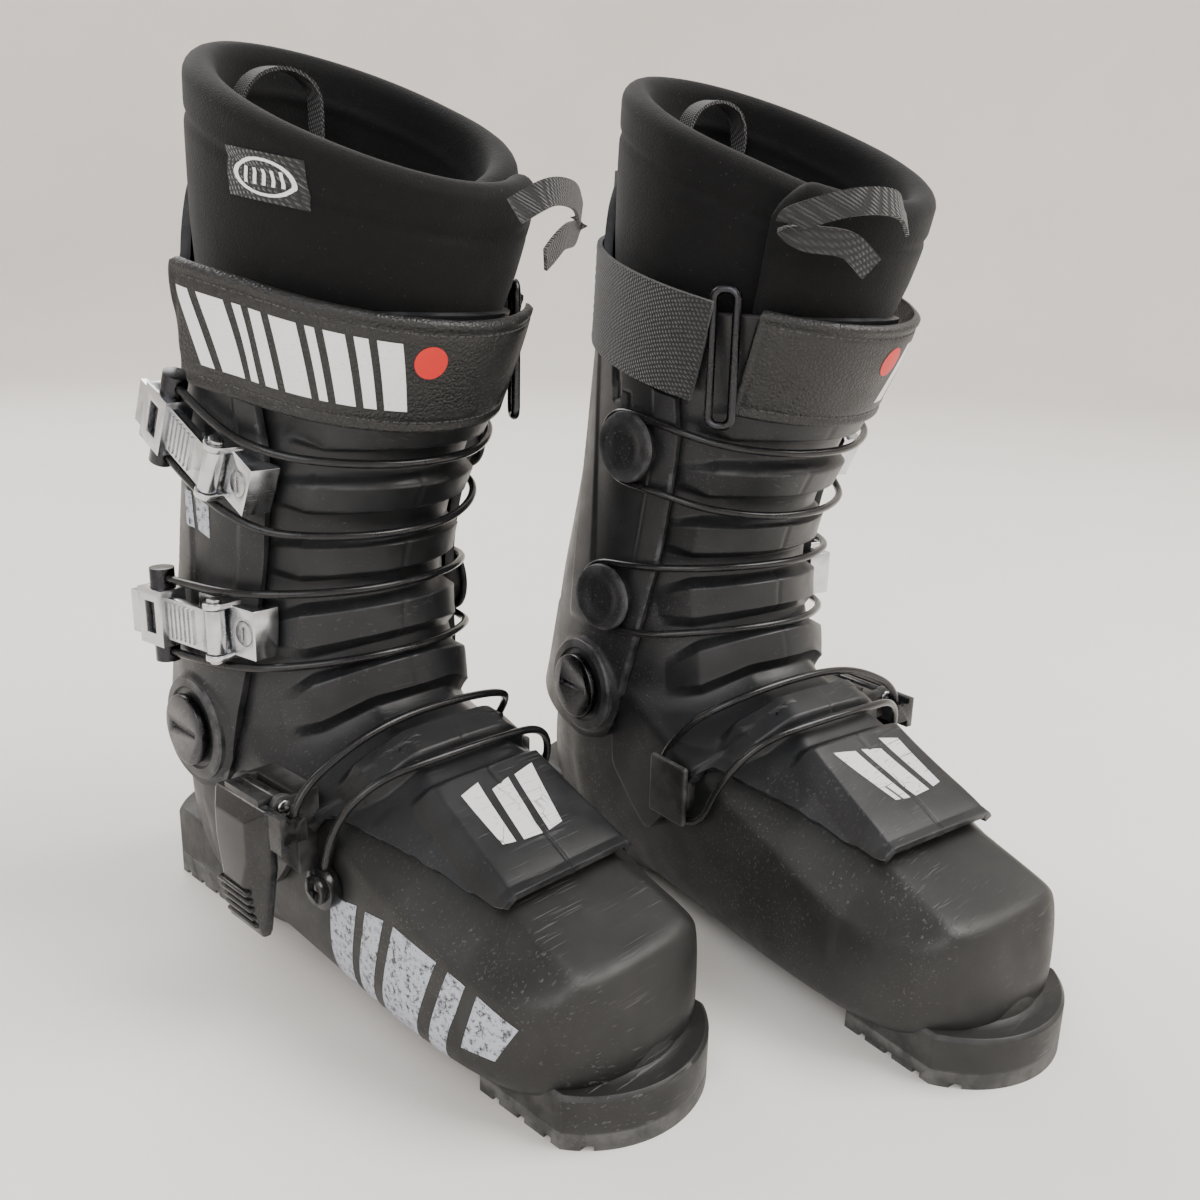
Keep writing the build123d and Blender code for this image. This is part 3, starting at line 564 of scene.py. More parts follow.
def plan_rays(count):
    """Origins and level directions round a capsule in plan, from the toe round to the toe."""
    straight = SPINE_REAR - SPINE_FRONT
    total = 2 * straight + 2 * math.pi * PLAN_RADIUS
    quarter = math.pi * PLAN_RADIUS / 2
    origins, directions = [], []
    for i in range(count):
        s = total * i / count
        if s < quarter:
            a = s / PLAN_RADIUS
            origins.append((0, SPINE_FRONT, 0))
            directions.append((math.sin(a), -math.cos(a), 0))
        elif s < quarter + straight:
            origins.append((0, SPINE_FRONT + s - quarter, 0))
            directions.append((1, 0, 0))
        elif s < 3 * quarter + straight:
            a = (s - quarter - straight) / PLAN_RADIUS
            origins.append((0, SPINE_REAR, 0))
            directions.append((math.cos(a), math.sin(a), 0))
        elif s < 3 * quarter + 2 * straight:
            origins.append((0, SPINE_REAR - (s - 3 * quarter - straight), 0))
            directions.append((-1, 0, 0))
        else:
            a = (s - 3 * quarter - 2 * straight) / PLAN_RADIUS
            origins.append((0, SPINE_FRONT, 0))
            directions.append((-math.cos(a), -math.sin(a), 0))
    return np.array(origins, float), np.array(directions, float)


def shell_grid(cols=300, low_rows=26, high_rows=80):
    """Rows of points from under the sole's edge up to the opening."""
    origins, directions = plan_rays(cols)
    gap = lambda p: body_gap(p, SHELL_LEVEL, 0.0)
    rows = []
    for z in np.linspace(5.0, SPINE_Z, low_rows, endpoint=False):
        rows.append(cast(origins + (0, 0, z), directions, gap))
    angles = np.radians(np.linspace(0, 88.5, 90))
    hits = []
    for a in angles:
        hits.append(cast(origins + (0, 0, SPINE_Z), directions * math.cos(a) + (0, 0, math.sin(a)), gap))
    hits = np.array(hits)
    half = np.interp(hits[..., 1], THROAT_HALF[:, 0], THROAT_HALF[:, 1])
    in_throat = (np.abs(hits[..., 0]) < half) & (hits[..., 1] < 30) & (hits[..., 2] > 50)
    over = in_throat | (hits[..., 2] > SHELL_TOP)
    last = np.where(over.any(0), over.argmax(0), len(angles) - 1)
    last = np.minimum(last, len(angles) - 1).astype(float)
    for _ in range(3):
        last = (np.roll(last, 1) + 2 * last + np.roll(last, -1)) / 4
    for share in np.linspace(0, 1, high_rows):
        a = np.interp(last * share, np.arange(len(angles)), angles)[:, None]
        tilted = directions * np.cos(a) + np.sin(a) * UP
        rows.append(cast(origins + (0, 0, SPINE_Z), tilted, gap))
    return np.array(rows)


def lug_outline(front, inset, count=40):
    """Plan of a lug at an inset, from one inner corner round the end to the other."""
    half, radius, end = LUG_HALF - inset, TOE_RADIUS - inset, HALF_SOLE - inset
    top = math.asin(min(1.0, half / radius))
    points = [(half, front * (HALF_SOLE - 56))]
    for i in range(count + 1):
        a = top - 2 * top * i / count
        points.append((radius * math.sin(a), front * (end - radius + radius * math.cos(a))))
    points.append((-half, front * (HALF_SOLE - 56)))
    return points


def lug(name, side, front, levels):
    """Stack of lug outlines, each level a height and an inset, closed top and bottom."""
    rings = [[(x, y, z) for x, y in lug_outline(front, inset)] for z, inset in levels]
    count = len(rings[0])
    points = [p for ring in rings for p in ring]
    faces = []
    for r in range(len(rings) - 1):
        for c in range(count):
            d = (c + 1) % count
            quad = (r * count + c, r * count + d, (r + 1) * count + d, (r + 1) * count + c)
            faces.append(quad if front > 0 else quad[::-1])
    bottom = tuple(range(count))
    top = tuple(range((len(rings) - 1) * count, len(rings) * count))
    faces.append(bottom[::-1] if front > 0 else bottom)
    faces.append(top if front > 0 else top[::-1])
    obj = piece(name, side, points, faces, M["shell"], None)
    modify(obj, "BEVEL", width=0.7 * MM, segments=2, limit_method="ANGLE", angle_limit=math.radians(35))
    apply_modifiers(obj)
    obj.data.set_sharp_from_angle(angle=math.radians(40))
    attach(obj, f"{side}_shell")


# Heights and insets of the two lugs, from the bottom up.
TOE_LEVELS = [(6.0, 0.0), (7.0, 0.0), (17.6, 0.0), (19.0, 1.2), (18.6, 6.0), (19.6, 9.0), (28.0, 10.5)]
HEEL_LEVELS = [(10.0, 0.0), (12.0, 0.0), (28.8, 0.0), (30.0, 1.2), (30.4, 4.0)]


def build_shell(side):
    shell = sheet_piece("shell_body", side, shell_grid(), WALL, M["shell"], "shell",
                        closed=True, edge=0.6)
    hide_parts(f"{side}_lower_shell")
    lug("toe_lug", side, -1, TOE_LEVELS)
    lug("heel_lug", side, 1, HEEL_LEVELS)
    for name in ("toe_sole", "heel_sole"):
        cad_copy(name, side, M["sole"], "shell", width=0.5)
    hook(side)
    return shell


def hook(side):
    """Inner catch for the instep cable: a stem under a wide lip."""
    for name, corners, width in (
        ("hook_stem", (38, 51.4, -7.9, 8.9, 56.1, 75.9), 5.0),
        ("hook_lip", (51.4, 54.4, -10, 11, 53.5, 78), 2.2),
    ):
        points, faces = box_mesh(*corners)
        obj = piece(name, side, points, faces, M["shell"], None)
        modify(obj, "BEVEL", width=width * MM, segments=5, limit_method="ANGLE")
        apply_modifiers(obj)
        obj.data.set_sharp_from_angle(angle=math.radians(40))
        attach(obj, f"{side}_shell")


# ---- tongue ----

# Rays for the tongue, from the rim down to the lip: key, origin Y, origin Z, tilt from level in degrees.
TONGUE_RAYS = np.array([
    (0, 40, 248, -2), (1, 40, 225, 0), (2, 44, 200, 0), (3, 50, 170, 0), (4, 52, 145, 6), (5, 50, 118, 18),
    (6, 42, 90, 32), (7, 22, 66, 48), (8, -8, 50, 62), (9, -44, 40, 70), (10, -80, 34, 77),
], float)
# Middles of the cross ribs (Y, Z), their size, and the height of the plate over the toe.
RIBS = [(-20, 207), (-9, 184), (-1, 161), (0, 138), (-6, 118), (-27, 101)]
RIB_HALF = 7.0
RIB_HEIGHT = 5.2
RIB_FLANK = 3.4
PLATE_HEIGHT = 4.4
TONGUE_HALF = np.array([(-90, 28.0), (-86, 29.0), (-60, 35), (-15, 44), (10, 70), (60, 70)], float)


def tongue_rows(rows, cols, leg_inset, foot_inset):
    """Grid over the tongue, from the rim down to the lip."""
    key = np.linspace(0, 10, rows)
    ray = smooth_table(TONGUE_RAYS)(key)
    tilt = np.radians(ray[:, 2])
    forward = np.stack([np.zeros(rows), -np.cos(tilt), np.sin(tilt)], 1)
    origin = np.stack([np.zeros(rows), ray[:, 0], ray[:, 1]], 1)
    gap = lambda p: body_gap(p, leg_inset, foot_inset)
    angles = np.radians(np.linspace(0, 112, 80))
    sideways = np.array([1.0, 0, 0])
    d = forward[:, None] * np.cos(angles)[None, :, None] + sideways * np.sin(angles)[None, :, None]
    o = np.repeat(origin[:, None], len(angles), 1)
    hits = cast(o, d, gap)
    wide = np.interp(hits[..., 1], TONGUE_HALF[:, 0], TONGUE_HALF[:, 1])
    over = (hits[..., 0] > wide) | (hits[..., 1] > 43)
    last = np.where(over.any(1), over.argmax(1), len(angles) - 1).astype(float)
    for _ in range(8):
        last[1:-1] = (last[:-2] + 2 * last[1:-1] + last[2:]) / 4
    limit = np.interp(last, np.arange(len(angles)), angles)
    share = np.linspace(-1, 1, cols)
    a = limit[:, None] * share[None]
    d = forward[:, None] * np.cos(a)[..., None] + sideways * np.sin(a)[..., None]
    o = np.repeat(origin[:, None], cols, 1)
    return cast(o, d, gap)


def build_tongue(side):
    rows, cols = 430, 170
    base = tongue_rows(rows, cols, TONGUE_LEVEL, -WALL - 0.6)
    middle = base[:, cols // 2]
    steps = np.concatenate([[0], np.cumsum(np.linalg.norm(np.diff(middle, axis=0), axis=1))])
    normals = face_normals(base, False)
    if normals[rows // 2, cols // 2, 1] > 0:
        normals = -normals
    height = np.zeros((rows, cols))
    across = np.abs(base[..., 0])
    for y, z in RIBS:
        at = steps[np.argmin(np.hypot(middle[:, 1] - y, middle[:, 2] - z))]
        distance = steps[:, None] - at
        taper = np.clip((40.0 - across) / 9.0, 0, 1)
        half = RIB_HALF * (0.62 + 0.38 * taper)
        shape = np.clip((half + RIB_FLANK * 0.5 - np.abs(distance)) / RIB_FLANK, 0, 1)
        crest = 1 - 0.06 * np.clip(across / 20, 0, 1) - 0.08 * (distance / half)
        height = np.maximum(height, RIB_HEIGHT * shape * taper * crest)
    # The plate over the toe stands proud, with slanted flanks and a square lip.
    plate_top = steps[np.argmin(np.hypot(middle[:, 1] + 40, middle[:, 2] - 89))]
    along = np.clip((steps[:, None] - plate_top) / 3.5, 0, 1)
    plate_half = np.interp(base[..., 1], (-88, -40), (25.5, 22.0))
    flank = np.clip((plate_half + 7.5 - across) / 7.5, 0, 1)
    height = np.maximum(height, PLATE_HEIGHT * along * flank)
    seam = 0.45 * np.exp(-((across / 0.7) ** 2)) * (height > 1.0)
    points = base + normals * (height - seam)[..., None]
    tongue = sheet_piece("tongue_body", side, points[::-1], WALL - 0.4, M["tongue"], None,
                         edge=0.9)
    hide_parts(f"{side}_tongue")
    blend_to_cuff(tongue)
    return tongue


def blend_to_cuff(obj):
    """Bakes a piece's placement into its mesh."""
    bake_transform(obj)


# ---- cuff ----

# Front edge as (Z, Y), and the bottom and top edges as (Y, Z).
CUFF_FRONT = np.array([
    (66, 46), (71, 44.5), (84, 37.5), (112, 31), (140, 27), (170, 21), (200, 13), (222, 11), (330, 9),
], float)
CUFF_LOW = np.array([(0, 90), (37, 84), (41, 75), (46, 70), (60, 67), (100, 76), (150, 86)], float)
CUFF_HIGH = np.array([
    (0, 214), (11, 216), (22, 219), (34, 225), (50, 238), (64, 260), (74, 284), (82, 300),
    (86, 303), (150, 303),
], float)
CUFF_BOTTOM, CUFF_TOP = 66, 303
# Places (Y, Z) of the shallow slots and the round catches, all on the inner side.
CUFF_SLOTS = [(43.0, 222.0), (36.0, 206.0)]
CATCHES = [("ankle_catch", 44.0, 134.0), ("top_catch", 32.0, 196.0)]
CATCH_RADIUS = 10.6


def leg_point(angle, z, inset):
    """Point on the leg form at an angle from the rear, towards +X."""
    middle, depth, width = leg_section(z, inset)
    return np.stack([width * np.sin(angle), middle + depth * np.cos(angle), z], -1)


def cuff_grid(rows, cols, inset):
    """Grid from the bottom edge to the top edge, round the back between the two front edges."""
    share = np.linspace(-1, 1, cols)
    table = np.linspace(CUFF_BOTTOM, CUFF_TOP, 400)
    middle, depth, _ = leg_section(table)
    front = np.interp(table, CUFF_FRONT[:, 0], CUFF_FRONT[:, 1])
    reach = np.arccos(np.clip((front - middle) / depth, -1, 1))
    y = middle[:, None] + depth[:, None] * np.cos(reach[:, None] * share[None])
    inside_low = table[:, None] > np.interp(y, CUFF_LOW[:, 0], CUFF_LOW[:, 1])
    inside_high = table[:, None] < np.interp(y, CUFF_HIGH[:, 0], CUFF_HIGH[:, 1])
    low = table[inside_low.argmax(0)].astype(float)
    high = table[len(table) - 1 - (inside_high & inside_low)[::-1].argmax(0)].astype(float)
    for _ in range(3):
        low[1:-1] = (low[:-2] + 2 * low[1:-1] + low[2:]) / 4
        high[1:-1] = (high[:-2] + 2 * high[1:-1] + high[2:]) / 4
    z = low[None] + (high - low)[None] * np.linspace(0, 1, rows)[:, None]
    a = np.interp(z, table, reach) * share[None]
    return leg_point(a, z, inset)


def build_cuff(side):
    rows, cols = 210, 240
    base = cuff_grid(rows, cols, 0.0)
    normals = face_normals(base, False)
    if (normals[rows // 2, cols // 2] @ np.array([0, 1.0, 0])) < 0:
        normals = -normals
    y, z = base[..., 1], base[..., 2]
    height = np.zeros((rows, cols))
    # Raised border along the front edge, a step over the ankle, and two shallow slots near the top.
    front = np.interp(z, CUFF_FRONT[:, 0], CUFF_FRONT[:, 1])
    border = bump(y - front - 4, 4.5, 2.0) * np.clip((z - 120) / 12, 0, 1)
    height = np.maximum(height, 1.2 * border)
    disc = np.hypot(y - PIVOT_Y, z - PIVOT_Z)
    height = np.maximum(height, 1.6 * np.clip((21.5 - disc) / 2.0, 0, 1))
    height = np.maximum(height, 1.0 * bump(y - 66 - (z - 190) * 0.05, 7, 2.0) * bump(z - 190, 68, 4))
    for slot_y, slot_z in CUFF_SLOTS:
        slot_cut = bump(y - slot_y, 1.8, 1.0) * bump(z - slot_z, 9, 1.5)
        height = height - 1.6 * slot_cut * (np.sign(base[..., 0]) > 0)
    height = height - 1.1 * bump(y - 96, 5.0, 1.5) * bump(z - 150, 30, 4)
    points = base + normals * height[..., None]
    cuff = sheet_piece("cuff_body", side, points[:, ::-1], WALL, M["cuff"], "cuff", edge=0.9)
    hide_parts(f"{side}_cuff")
    for name, place_y, place_z in CATCHES:
        catch(side, name, place_y, place_z)
    boss_rings(side)
    return cuff


def leg_frame(y, z, sign):
    """Origin and outward direction on the leg form's face."""
    middle, depth, width = leg_section(np.array(float(z)))
    x = sign * width * math.sqrt(max(0.01, 1 - ((y - middle) / depth) ** 2))
    out = Vector((x / width**2, (y - middle) / depth**2, 0)).normalized()
    return Vector((x, y, z)), out


def lathe(profile, origin, axis, count=48):
    """Points and faces of a turned shape: profile rows are (radius, distance along the axis)."""
    axis = Vector(axis).normalized()
    side = axis.orthogonal().normalized()
    other = axis.cross(side)
    points, faces = [], []
    for radius, along in profile:
        for i in range(count):
            a = 2 * math.pi * i / count
            points.append(Vector(origin) + axis * along + (side * math.cos(a) + other * math.sin(a)) * radius)
    for r in range(len(profile) - 1):
        for i in range(count):
            j = (i + 1) % count
            faces.append((r * count + i, r * count + j, (r + 1) * count + j, (r + 1) * count + i))
    faces.append(tuple(range(count))[::-1])
    faces.append(tuple(range((len(profile) - 1) * count, len(profile) * count)))
    return [tuple(p) for p in points], faces


def turned(name, side, profile, origin, axis):
    """Turned piece of the cuff's plastic."""
    points, faces = lathe(profile, origin, axis)
    obj = piece(name, side, points, faces, M["cuff"], "cuff")
    obj.data.set_sharp_from_angle(angle=math.radians(35))


def catch(side, name, y, z):
    """Round catch with a dished lip."""
    origin, out = leg_frame(y, z, 1)
    lip = [(0, -4), (0, 4.8), (2.4, 5.0), (3.0, 5.6), (2.6, 6.8), (1.4, 7.2), (-2, 7.2), (-3.2, 6.4),
           (-6.5, 6.2)]
    turned(name, side, [(CATCH_RADIUS + wider, along) for wider, along in lip], origin, out)


BOSS_X = 51.6


def boss_rings(side):
    """Raised washers round the ankle pivots."""
    profile = [(20.0, -6.0), (20.0, 3.0), (19.2, 3.8), (16.0, 4.2), (15.2, 3.4), (14.6, 3.3)]
    for sign, place in ((-1, "outer"), (1, "inner")):
        turned(f"pivot_boss_{place}", side, profile, (sign * BOSS_X, PIVOT_Y, PIVOT_Z), (sign, 0, 0))


# ---- liner ----

# How far the collar's face lies inside the leg form at each height.
LINER_LEVELS = np.array([
    (60, 12.0), (132, 12.0), (150, 9.9), (170, 8.6), (225, 8.4), (245, 7.0), (258, 5.2), (275, 4.0),
    (300, 3.6), (345, 4.0),
], float)
# The rim slopes from the rear down to the front (Y, Z). The flap is in radians past the front middle.
RIM_REAR, RIM_FRONT = (80.0, 333.0), (-57.0, 281.0)
LINER_THICK = 11.0
LINER_RADIUS = 56
COLLAR_BOTTOM = 190
FLAP = 0.85


def rim_height(y):
    slope = (RIM_REAR[1] - RIM_FRONT[1]) / (RIM_REAR[0] - RIM_FRONT[0])
    return RIM_FRONT[1] + slope * (y - RIM_FRONT[0])


def build_liner(side):
    """Wrapped foam collar: one thick sheet that goes round the leg and laps over itself at the front."""
    cols, rows, cap = 220, 90, 10
    share = np.linspace(0, 1, cols)
    # The outer layer starts on the inner side, comes over the front and ends past it, under itself.
    angle = -math.pi - FLAP + (2 * math.pi + 2 * FLAP) * share
    under = LINER_THICK * 0.95 * smooth_step((angle - (math.pi - FLAP * 1.9)) / (1.5 * FLAP))
    arc = share * 2 * math.pi * LINER_RADIUS * (1 + FLAP / math.pi)
    ends = np.minimum(arc, arc[-1] - arc)
    thick = LINER_THICK * np.sqrt(np.clip(1 - (1 - np.clip(ends / 5.0, 0, 1)) ** 2, 0.02, 1))
    rim_base = leg_point(angle, np.full(cols, 300.0), 5.0)
    rim = rim_height(rim_base[:, 1]) - 4.5
    # The outer flap's corner dips at its end, and the under layer stands a little lower.
    rim = rim - 5.0 * smooth_step((angle - math.pi + 0.6) / 0.9)
    rim = rim - 10.0 * smooth_step((-angle - math.pi - FLAP + 0.3) / 0.3) ** 2
    v = np.linspace(0, 1, rows)
    z = COLLAR_BOTTOM + (rim[None] - COLLAR_BOTTOM) * v[:, None]
    level = np.interp(z, LINER_LEVELS[:, 0], LINER_LEVELS[:, 1]) + under[None]
    level = level + 0.9 * np.exp(-(((rim[None] - 11 - z) / 1.6) ** 2))
    ripple = 0.5 * np.sin(angle * 3.0 + 1.0)[None] * np.clip((z - 260) / 40, 0, 1)
    outer = leg_point(np.repeat(angle[None], rows, 0), z, level - ripple)
    inner = leg_point(np.repeat(angle[None], rows, 0), z, level - ripple + thick[None])
    top_out, top_in = outer[-1], inner[-1]
    centre, radius = (top_out + top_in) / 2, thick / 2
    outward = (top_out - top_in) / np.maximum(np.linalg.norm(top_out - top_in, axis=1, keepdims=True), 1e-9)
    rim_rows = []
    for i in range(1, cap):
        a = math.pi * i / cap
        rise = UP * (radius * 1.05 * math.sin(a))[:, None]
        rim_rows.append(centre + outward * (radius * math.cos(a))[:, None] + rise)
    rings = np.concatenate([outer, np.array(rim_rows), inner[::-1]])
    total = rings.shape[0]
    faces = grid_faces(total, cols, False)
    for col in (0, cols - 1):
        loop = [r * cols + col for r in range(total)]
        faces.append(tuple(loop if col == 0 else loop[::-1]))
    obj = piece("liner_collar", side, rings, faces, M["liner"], None)
    fix_normals(obj)
    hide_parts(f"{side}_liner", f"{side}_footbed", f"{side}_boot_board")
    blend_to_cuff(obj)
    liner_foot(side)
    return obj


def smooth_step(t):
    t = np.clip(t, 0, 1)
    return t * t * (3 - 2 * t)


def fix_normals(obj):
    bm = bmesh.new()
    bm.from_mesh(obj.data)
    bmesh.ops.recalc_face_normals(bm, faces=bm.faces)
    bm.to_mesh(obj.data)
    bm.free()


def liner_foot(side):
    """The liner's inside below the collar: leg tube down to the heel, and the insole."""
    cols, rows = 72, 40
    angle = np.linspace(-math.pi, math.pi, cols, endpoint=False)
    z = np.linspace(34, 196, rows)
    grid = leg_point(np.repeat(angle[None], rows, 0), np.repeat(z[:, None], cols, 1), 20.0)
    faces = grid_faces(rows, cols, True)
    faces.append(tuple(range(cols)))
    obj = piece("liner_inside", side, grid, faces, M["felt"], None)
    fix_normals(obj)
    modify(obj, "SOLIDIFY", thickness=6 * MM, offset=1.0)
    apply_modifiers(obj)
    blend_to_cuff(obj)


# ---- straps, ring and loops ----

STRAP_WIDTH = 41.0
STRAP_LENGTH = 190.0
STRAP_TILT = 0.26
STRAP_FRONT = (-40.0, 203.0)
# Slanted bars printed on the strap, as shares of its length.
BARS_START, BAR_SPACE, BAR_SLANT = 0.05, 0.018, -0.035
BAR_WIDTHS = (0.03, 0.055, 0.02, 0.03, 0.06, 0.02, 0.045, 0.03, 0.055)


def strap_low(y):
    return STRAP_FRONT[1] + STRAP_TILT * (y - STRAP_FRONT[0])


def band_grid(angles, rows, inset, trim=0.0, width=STRAP_WIDTH, flare=None):
    """Grid round the leg in the strap's tilted band; angles are from the rear towards +X."""
    v = np.linspace(0, 1, rows)
    z = np.full((rows, len(angles)), 230.0)
    for _ in range(6):
        p = leg_point(np.repeat(angles[None], rows, 0), z, inset)
        z = strap_low(p[..., 1]) + trim + (width - 2 * trim) * v[:, None]
    points = leg_point(np.repeat(angles[None], rows, 0), z, inset)
    if flare is not None:
        deeper = leg_point(np.repeat(angles[None], rows, 0), z, inset + 1.0)
        points = points + flare[None, :, None] * (points - deeper)
    return points


def build_strap(side):
    # From the free end on the outer side round the front, which is at 180 degrees, to the ring.
    angles = np.linspace(math.radians(-84), math.radians(-226), 200)
    cols, rows = len(angles), 36
    arc = np.linspace(0, 1, cols)
    # The free end stands off the boot a little.
    flare = 7.0 * smooth_step((0.20 - arc) / 0.20)
    base = band_grid(angles, rows, -0.7, flare=flare)
    normals = face_normals(base, False)
    centre = base.mean(axis=(0, 1))
    if ((base[rows // 2, cols // 2] - centre) @ normals[rows // 2, cols // 2]) < 0:
        normals = -normals
    v = np.linspace(0, 1, rows)[:, None]
    edge_distance = np.minimum(v, 1 - v) * STRAP_WIDTH
    end_distance = np.minimum(arc, 1 - arc)[None] * STRAP_LENGTH
    border = np.minimum(edge_distance, end_distance)
    lift = 2.6 - 0.45 * bump(border - 4.2, 0.5, 0.8) + 0.35 * np.exp(-((border - 1.6) / 1.6) ** 2)
    lift = lift - 1.6 * np.clip(1 - border / 1.1, 0, 1) ** 2
    outer = base + normals * lift[..., None]
    slant = slant_end(outer, arc)
    inner = slant_end(base, arc)
    closed_slab("strap_body", side, slant, inner, M["leather"], "cuff",
                [f"{side}_power_strap"])
    stitches(side, slant, normals)
    print_marks(side, slant, normals)


def slant_end(points, arc):
    """Cuts the free end on a slant, with the lower corner further back."""
    rows = points.shape[0]
    v = np.linspace(0, 1, rows)
    result = points.copy()
    for r in range(rows):
        corner = 0.018 * (abs(2 * v[r] - 1) ** 6)
        start = 0.045 * (1 - v[r]) + corner
        keys = start + (1 - start - corner * 0.6) * arc
        for k in range(3):
            result[r, :, k] = np.interp(keys, arc, points[r, :, k])
    return result


def closed_slab(name, side, outer, inner, material, body, replaced=()):
    """Solid between two grids of the same size."""
    rows, cols = outer.shape[:2]
    points = np.concatenate([outer.reshape(-1, 3), inner.reshape(-1, 3)])
    half = rows * cols
    faces = grid_faces(rows, cols, False) + grid_faces(rows, cols, False, half, True)
    for r in range(rows - 1):
        for c, flip in ((0, True), (cols - 1, False)):
            a, b = r * cols + c, (r + 1) * cols + c
            quad = (a, b, b + half, a + half)
            faces.append(quad if not flip else quad[::-1])
    for c in range(cols - 1):
        for r, flip in ((0, False), (rows - 1, True)):
            a, b = r * cols + c, r * cols + c + 1
            quad = (a, b, b + half, a + half)
            faces.append(quad[::-1] if flip else quad)
    obj = piece(name, side, points, faces, material, None)
    fix_normals(obj)
    obj.data.set_sharp_from_angle(angle=math.radians(60))
    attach(obj, f"{side}_{body}")
    if replaced:
        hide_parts(*replaced)
    return obj


STITCH_SPACE, STITCH_LENGTH, THREAD_RADIUS = 3.1, 2.1, 0.34


def stitches(side, grid, normals):
    """Runs of thread along the strap's edges."""
    points, faces = [], []
    for row in (4, len(grid) - 5):
        line, up = grid[row], normals[row]
        length = np.concatenate([[0], np.cumsum(np.linalg.norm(np.diff(line, axis=0), axis=1))])
        count = int(length[-1] / STITCH_SPACE)
        for i in range(2, count - 2):
            ends = []
            for s in (i * STITCH_SPACE, i * STITCH_SPACE + STITCH_LENGTH):
                p = np.array([np.interp(s, length, line[:, k]) for k in range(3)])
                n = np.array([np.interp(s, length, up[:, k]) for k in range(3)])
                ends.append(p + n * 0.05)
            add_capsule(points, faces, *ends, THREAD_RADIUS)
    piece("strap_stitching", side, points, faces, M["thread"], "cuff")


def add_capsule(points, faces, a, b, radius, count=6):
    """Short thread with rounded ends."""
    axis = Vector(b - a)
    length = axis.length
    axis.normalize()
    side = axis.orthogonal().normalized()
    other = axis.cross(side)
    start = len(points)
    for share, r in ((-0.08, 0.35), (0.08, 0.9), (0.5, 1.0), (0.92, 0.9), (1.08, 0.35)):
        for i in range(count):
            t = 2 * math.pi * i / count
            out = (side * math.cos(t) + other * math.sin(t)) * radius * r
            points.append(tuple(Vector(a) + axis * length * share + out))
    for ring in range(4):
        for i in range(count):
            j = (i + 1) % count
            o = start + ring * count
            faces.append((o + i, o + j, o + count + j, o + count + i))
    faces.append(tuple(range(start, start + count))[::-1])
    faces.append(tuple(range(start + 4 * count, start + 5 * count)))


def print_marks(side, grid, normals):
    """Row of plain printed blocks along the strap, with a round dot at the end."""
    points, faces = [], []
    start = BARS_START
    for width in BAR_WIDTHS:
        add_patch(points, faces, grid, normals, start, start + width, 0.22, 0.8, 0.12, BAR_SLANT)
        start += width + BAR_SPACE
    piece("strap_blocks", side, points, faces, M["white"], "cuff")
    points, faces = [], []
    add_disc(points, faces, grid, normals, 0.575, 0.66, 5.6, 0.14)
    piece("strap_dot", side, points, faces, M["red"], "cuff")


def grid_at(grid, u, v):
    """Point of a grid at shares across its columns and rows."""
    rows, cols = grid.shape[:2]
    x, y = np.clip(u, 0, 1) * (cols - 1), np.clip(v, 0, 1) * (rows - 1)
    i, j = min(int(x), cols - 2), min(int(y), rows - 2)
    a, b = x - i, y - j
    low = grid[j, i] * (1 - a) + grid[j, i + 1] * a
    high = grid[j + 1, i] * (1 - a) + grid[j + 1, i + 1] * a
    return low * (1 - b) + high * b


def grid_quads(faces, start, steps):
    """Faces of a square patch of points that begins at start."""
    for j in range(steps):
        for i in range(steps):
            o = start + j * (steps + 1) + i
            faces.append((o, o + 1, o + steps + 2, o + steps + 1))


def add_patch(points, faces, grid, normals, u0, u1, v0, v1, lift, slant, steps=12):
    """Thin printed block on a grid's face."""
    start = len(points)
    for j in range(steps + 1):
        for i in range(steps + 1):
            u = u0 + (u1 - u0) * i / steps + slant * j / steps
            v = v0 + (v1 - v0) * j / steps
            points.append(tuple(grid_at(grid, u, v) + grid_at(normals, u, v) * lift))
    grid_quads(faces, start, steps)


def add_disc(points, faces, grid, normals, u, v, radius, lift, count=40):
    """Thin printed disc on a grid's face."""
    length_u = np.linalg.norm(grid_at(grid, u + 0.05, v) - grid_at(grid, u - 0.05, v)) / 0.1
    length_v = np.linalg.norm(grid_at(grid, u, 1.0) - grid_at(grid, u, 0.0))
    start = len(points)
    points.append(tuple(grid_at(grid, u, v) + grid_at(normals, u, v) * lift))
    for ring in (0.5, 1.0):
        for i in range(count):
            a = 2 * math.pi * i / count
            uu, vv = u + radius * ring * math.cos(a) / length_u, v + radius * ring * math.sin(a) / length_v
            points.append(tuple(grid_at(grid, uu, vv) + grid_at(normals, uu, vv) * lift))
    for i in range(count):
        j = (i + 1) % count
        faces.append((start, start + 1 + i, start + 1 + j))
        faces.append((start + 1 + i, start + 1 + count + i, start + 1 + count + j, start + 1 + j))


def build_webbing(side):
    """Webbing from the back of the cuff to the ring."""
    cols, rows, ribs = 90, 24, 5
    angles = np.linspace(math.radians(28), math.radians(119), cols)
    base = band_grid(angles, rows, -0.7, trim=1.5)
    normals = face_normals(base, False)
    if normals[rows // 2, cols // 2, 0] < 0:
        normals = -normals
    outer = base + normals * 2.0
    # Woven ribs along the band.
    v = np.linspace(0, 1, rows)[:, None]
    outer = outer + normals * (0.25 * np.sin(v * math.pi * 2 * ribs) ** 2)[..., None]
    closed_slab("webbing_body", side, outer, base, M["webbing"], "cuff", [f"{side}_strap_webbing"])


